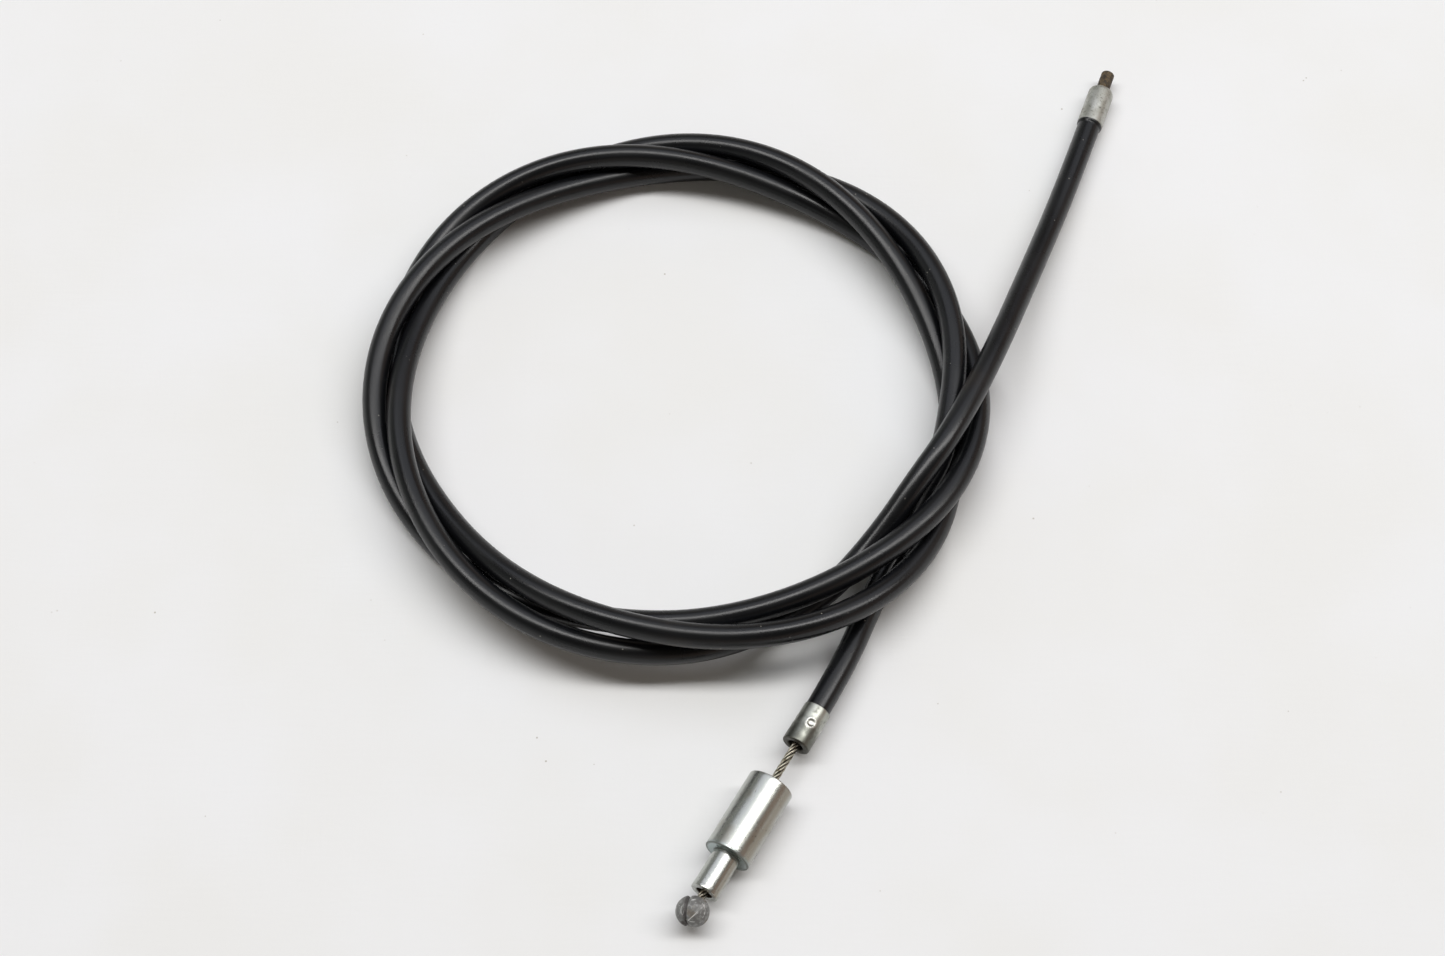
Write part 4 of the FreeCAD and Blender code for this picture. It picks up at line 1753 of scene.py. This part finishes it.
@dataclass(frozen=True)
class BarrelNipple(Fitting):
    """Small barrel swaged on the upper end of the wire."""

    name: str = "swaged_barrel"
    node: str = "barrel_nipple"
    slot: Slot = Slot.BARREL
    segments: int = 96
    fineness: float = 0.12
    arc_steps: int = 6
    end: CableEnd = UPPER_END
    body: Body = Body.UPPER_WIRE
    start: float = -0.8
    length: float = 6.3
    outer: float = 1.6
    bore: float = 0.88
    bore_wall: float = 0.05
    bore_edge: float = 0.2
    edge: float = 0.25
    unevenness: float = 0.05
    waviness: float = 1.9
    octaves: int = 3

    def outline(self) -> list[Corner]:
        """Corners of the section in order."""
        end = self.start + self.length
        return [
            Corner(self.bore, self.start),
            Corner(self.outer, self.start, self.edge),
            Corner(self.outer, end, self.edge),
            Corner(self.bore, end, self.bore_edge),
        ]

    def moved(self, point: Vector) -> Vector:
        """Moves a point of the outside in by the rust's unevenness.

        Args:
            point: Point of the clean barrel.

        Returns:
            The moved point.
        """
        if off_axis(point) < self.bore + self.bore_wall:
            return point
        rust = 0.5 + 0.5 * noise.fractal(point * self.waviness, 1.0, 2.0, self.octaves)
        return pushed_in(point, self.unevenness * rust)


# Camera, table and light


@dataclass(frozen=True)
class Viewpoint:
    """Camera of the photograph, worked out from the ring of cable and the table."""

    target: Place = (-42.57, -2.37, 0.0)
    distance: float = 589.7
    elevation: float = 60.0
    lens: float = 66.17
    sensor: float = 36.0
    nearest: float = 0.01

    def build(self) -> None:
        """Makes the camera and gives it to the scene."""
        data = bpy.data.cameras.new("viewpoint")
        data.lens = self.lens
        data.sensor_width = self.sensor
        data.clip_start = self.nearest
        camera = bpy.data.objects.new("viewpoint", data)
        bpy.context.scene.collection.objects.link(camera)
        angle = math.radians(self.elevation)
        back = Vector((0, -math.cos(angle), math.sin(angle)))
        camera.location = (Vector(self.target) + back * self.distance) * MM
        camera.rotation_mode = "QUATERNION"
        camera.rotation_quaternion = (-back).to_track_quat("-Z", "Y")
        bpy.context.scene.camera = camera


@dataclass(frozen=True)
class Table:
    """Plain pale table top, which is the floor of the scene."""

    size: float = 4000.0

    def build(self) -> None:
        """Makes the table top."""
        half = self.size / 2
        draft = Draft()
        corners = ((-half, -half), (half, -half), (half, half), (-half, half))
        draft.faces.append(tuple(draft.ring([Vector((x, y, 0)) for x, y in corners])))
        top = bpy.data.objects.new("table_top", draft.mesh("table_top"))
        bpy.context.scene.collection.objects.link(top)
        top.data.materials.append(CoatedBoard().make())


@dataclass(frozen=True)
class Lamp:
    """Flat soft lamp: its middle and size in metres, and its brightness, where white paper has 1."""

    name: str
    place: Place
    size: tuple[float, float]
    brightness: float
    tint: str

    def build(self) -> None:
        """Adds the lamp with its long side across the view, tilted towards the middle of the table."""
        data = bpy.data.lights.new(self.name, "AREA")
        data.shape = "RECTANGLE"
        data.size, data.size_y = self.size
        data.energy = self.brightness * math.pi * self.size[0] * self.size[1]
        data.color = linear(self.tint)[:3]
        lamp = bpy.data.objects.new(self.name, data)
        bpy.context.scene.collection.objects.link(lamp)
        lamp.location = self.place
        lamp.rotation_euler = (-math.atan2(self.place[1], self.place[2]), 0, 0)


@dataclass(frozen=True)
class Studio:
    """Long soft lamp overhead, a broad weak one behind, and a dim room that bright metal mirrors."""

    overhead: Lamp = Lamp("overhead_light", (0.45, 0.27, 2.0), (4.4, 0.46), 8.2, "#fffefd")
    behind: Lamp = Lamp("back_light", (0.1, 1.15, 1.87), (3.4, 1.15), 1.0, "#eef3ff")
    ceiling: str = "#4a4640"
    left_wall: str = "#9b9d99"
    right_wall: str = "#a49083"
    far_floor: str = "#e9e9e7"
    # Where the room passes from the left wall to the right one, up to the ceiling and down to the far floor,
    # on the sphere of directions, from -1 to 1.
    wall_turn: Range = (-0.3, 0.4)
    ceiling_rise: Range = (0.42, 0.6)
    floor_fall: Range = (0.12, 0.06)

    def build(self) -> None:
        """Adds the lamps and the room."""
        self.overhead.build()
        self.behind.build()
        world = bpy.data.worlds.new("dim_room")
        world.use_nodes = True
        tree = world.node_tree
        tree.nodes.clear()
        way = add_node(tree, "SeparateXYZ", {"Vector": add_node(tree, "TexCoord").outputs["Generated"]})
        colour = linear(self.left_wall)
        steps = (
            ("X", self.wall_turn, "LINEAR", self.right_wall),
            ("Z", self.ceiling_rise, "SMOOTHSTEP", self.ceiling),
            ("Z", self.floor_fall, "LINEAR", self.far_floor),
        )
        for axis, (start, end), easing, other in steps:
            inputs = {"Value": way.outputs[axis], "From Min": start, "From Max": end}
            share = add_node(tree, "MapRange", inputs, interpolation_type=easing).outputs["Result"]
            inputs = {FACTOR: share, FIRST: colour, SECOND: linear(other)}
            colour = add_node(tree, "Mix", inputs, data_type="RGBA").outputs[2]
        glow = add_node(tree, "Background", {"Color": colour, "Strength": 1.0})
        add_node(tree, "OutputWorld", {"Surface": glow.outputs["Background"]})
        bpy.context.scene.world = world


# The whole cable


@dataclass(frozen=True)
class PullCable:
    """All pieces of the cable and their finishes."""

    casing: Casing = Casing()
    lower_conduit: ConduitEnd = ConduitEnd(LOWER_END, "lower", 1.0, 17.0)
    upper_conduit: ConduitEnd = ConduitEnd(UPPER_END, "upper", 1.5, 16.0)
    lower_wire: StrandedWire = StrandedWire("lower_strands", LOWER_END, Body.LOWER_WIRE, -4.5, 44.4)
    upper_wire: StrandedWire = StrandedWire("upper_strands", UPPER_END, Body.UPPER_WIRE, -15.5, 5.2)

    def build(self) -> None:
        jacket, line = self.casing.build(ExtrudedVinyl().make())
        flat_wire, nylon, steel = RolledWire().make(), ExtrudedNylon().make(), StrandedSteel().make()
        self.lower_conduit.build(flat_wire, nylon)
        self.upper_conduit.build(flat_wire, nylon)
        LowerFerrule().build(WornZinc().make())
        upper_ferrule = UpperFerrule().build(SpeckledZinc().make())
        StopBush().build(TurnedZinc().make())
        BallNipple().build(CastZincAlloy().make())
        barrel = BarrelNipple().build(RustedSteel().make())
        self.lower_wire.build(steel)
        self.upper_wire.build(steel)
        [point * MM for point in line]


def main() -> None:
    """Builds the camera, the cable, the table and the light."""
    logging.basicConfig(level=logging.INFO, format="%(name)s: %(message)s")
    Viewpoint().build()
    PullCable().build()
    Table().build()
    Studio().build()
    bpy.context.scene.view_settings.view_transform = "Standard"


if __name__ == "__main__":
    main()
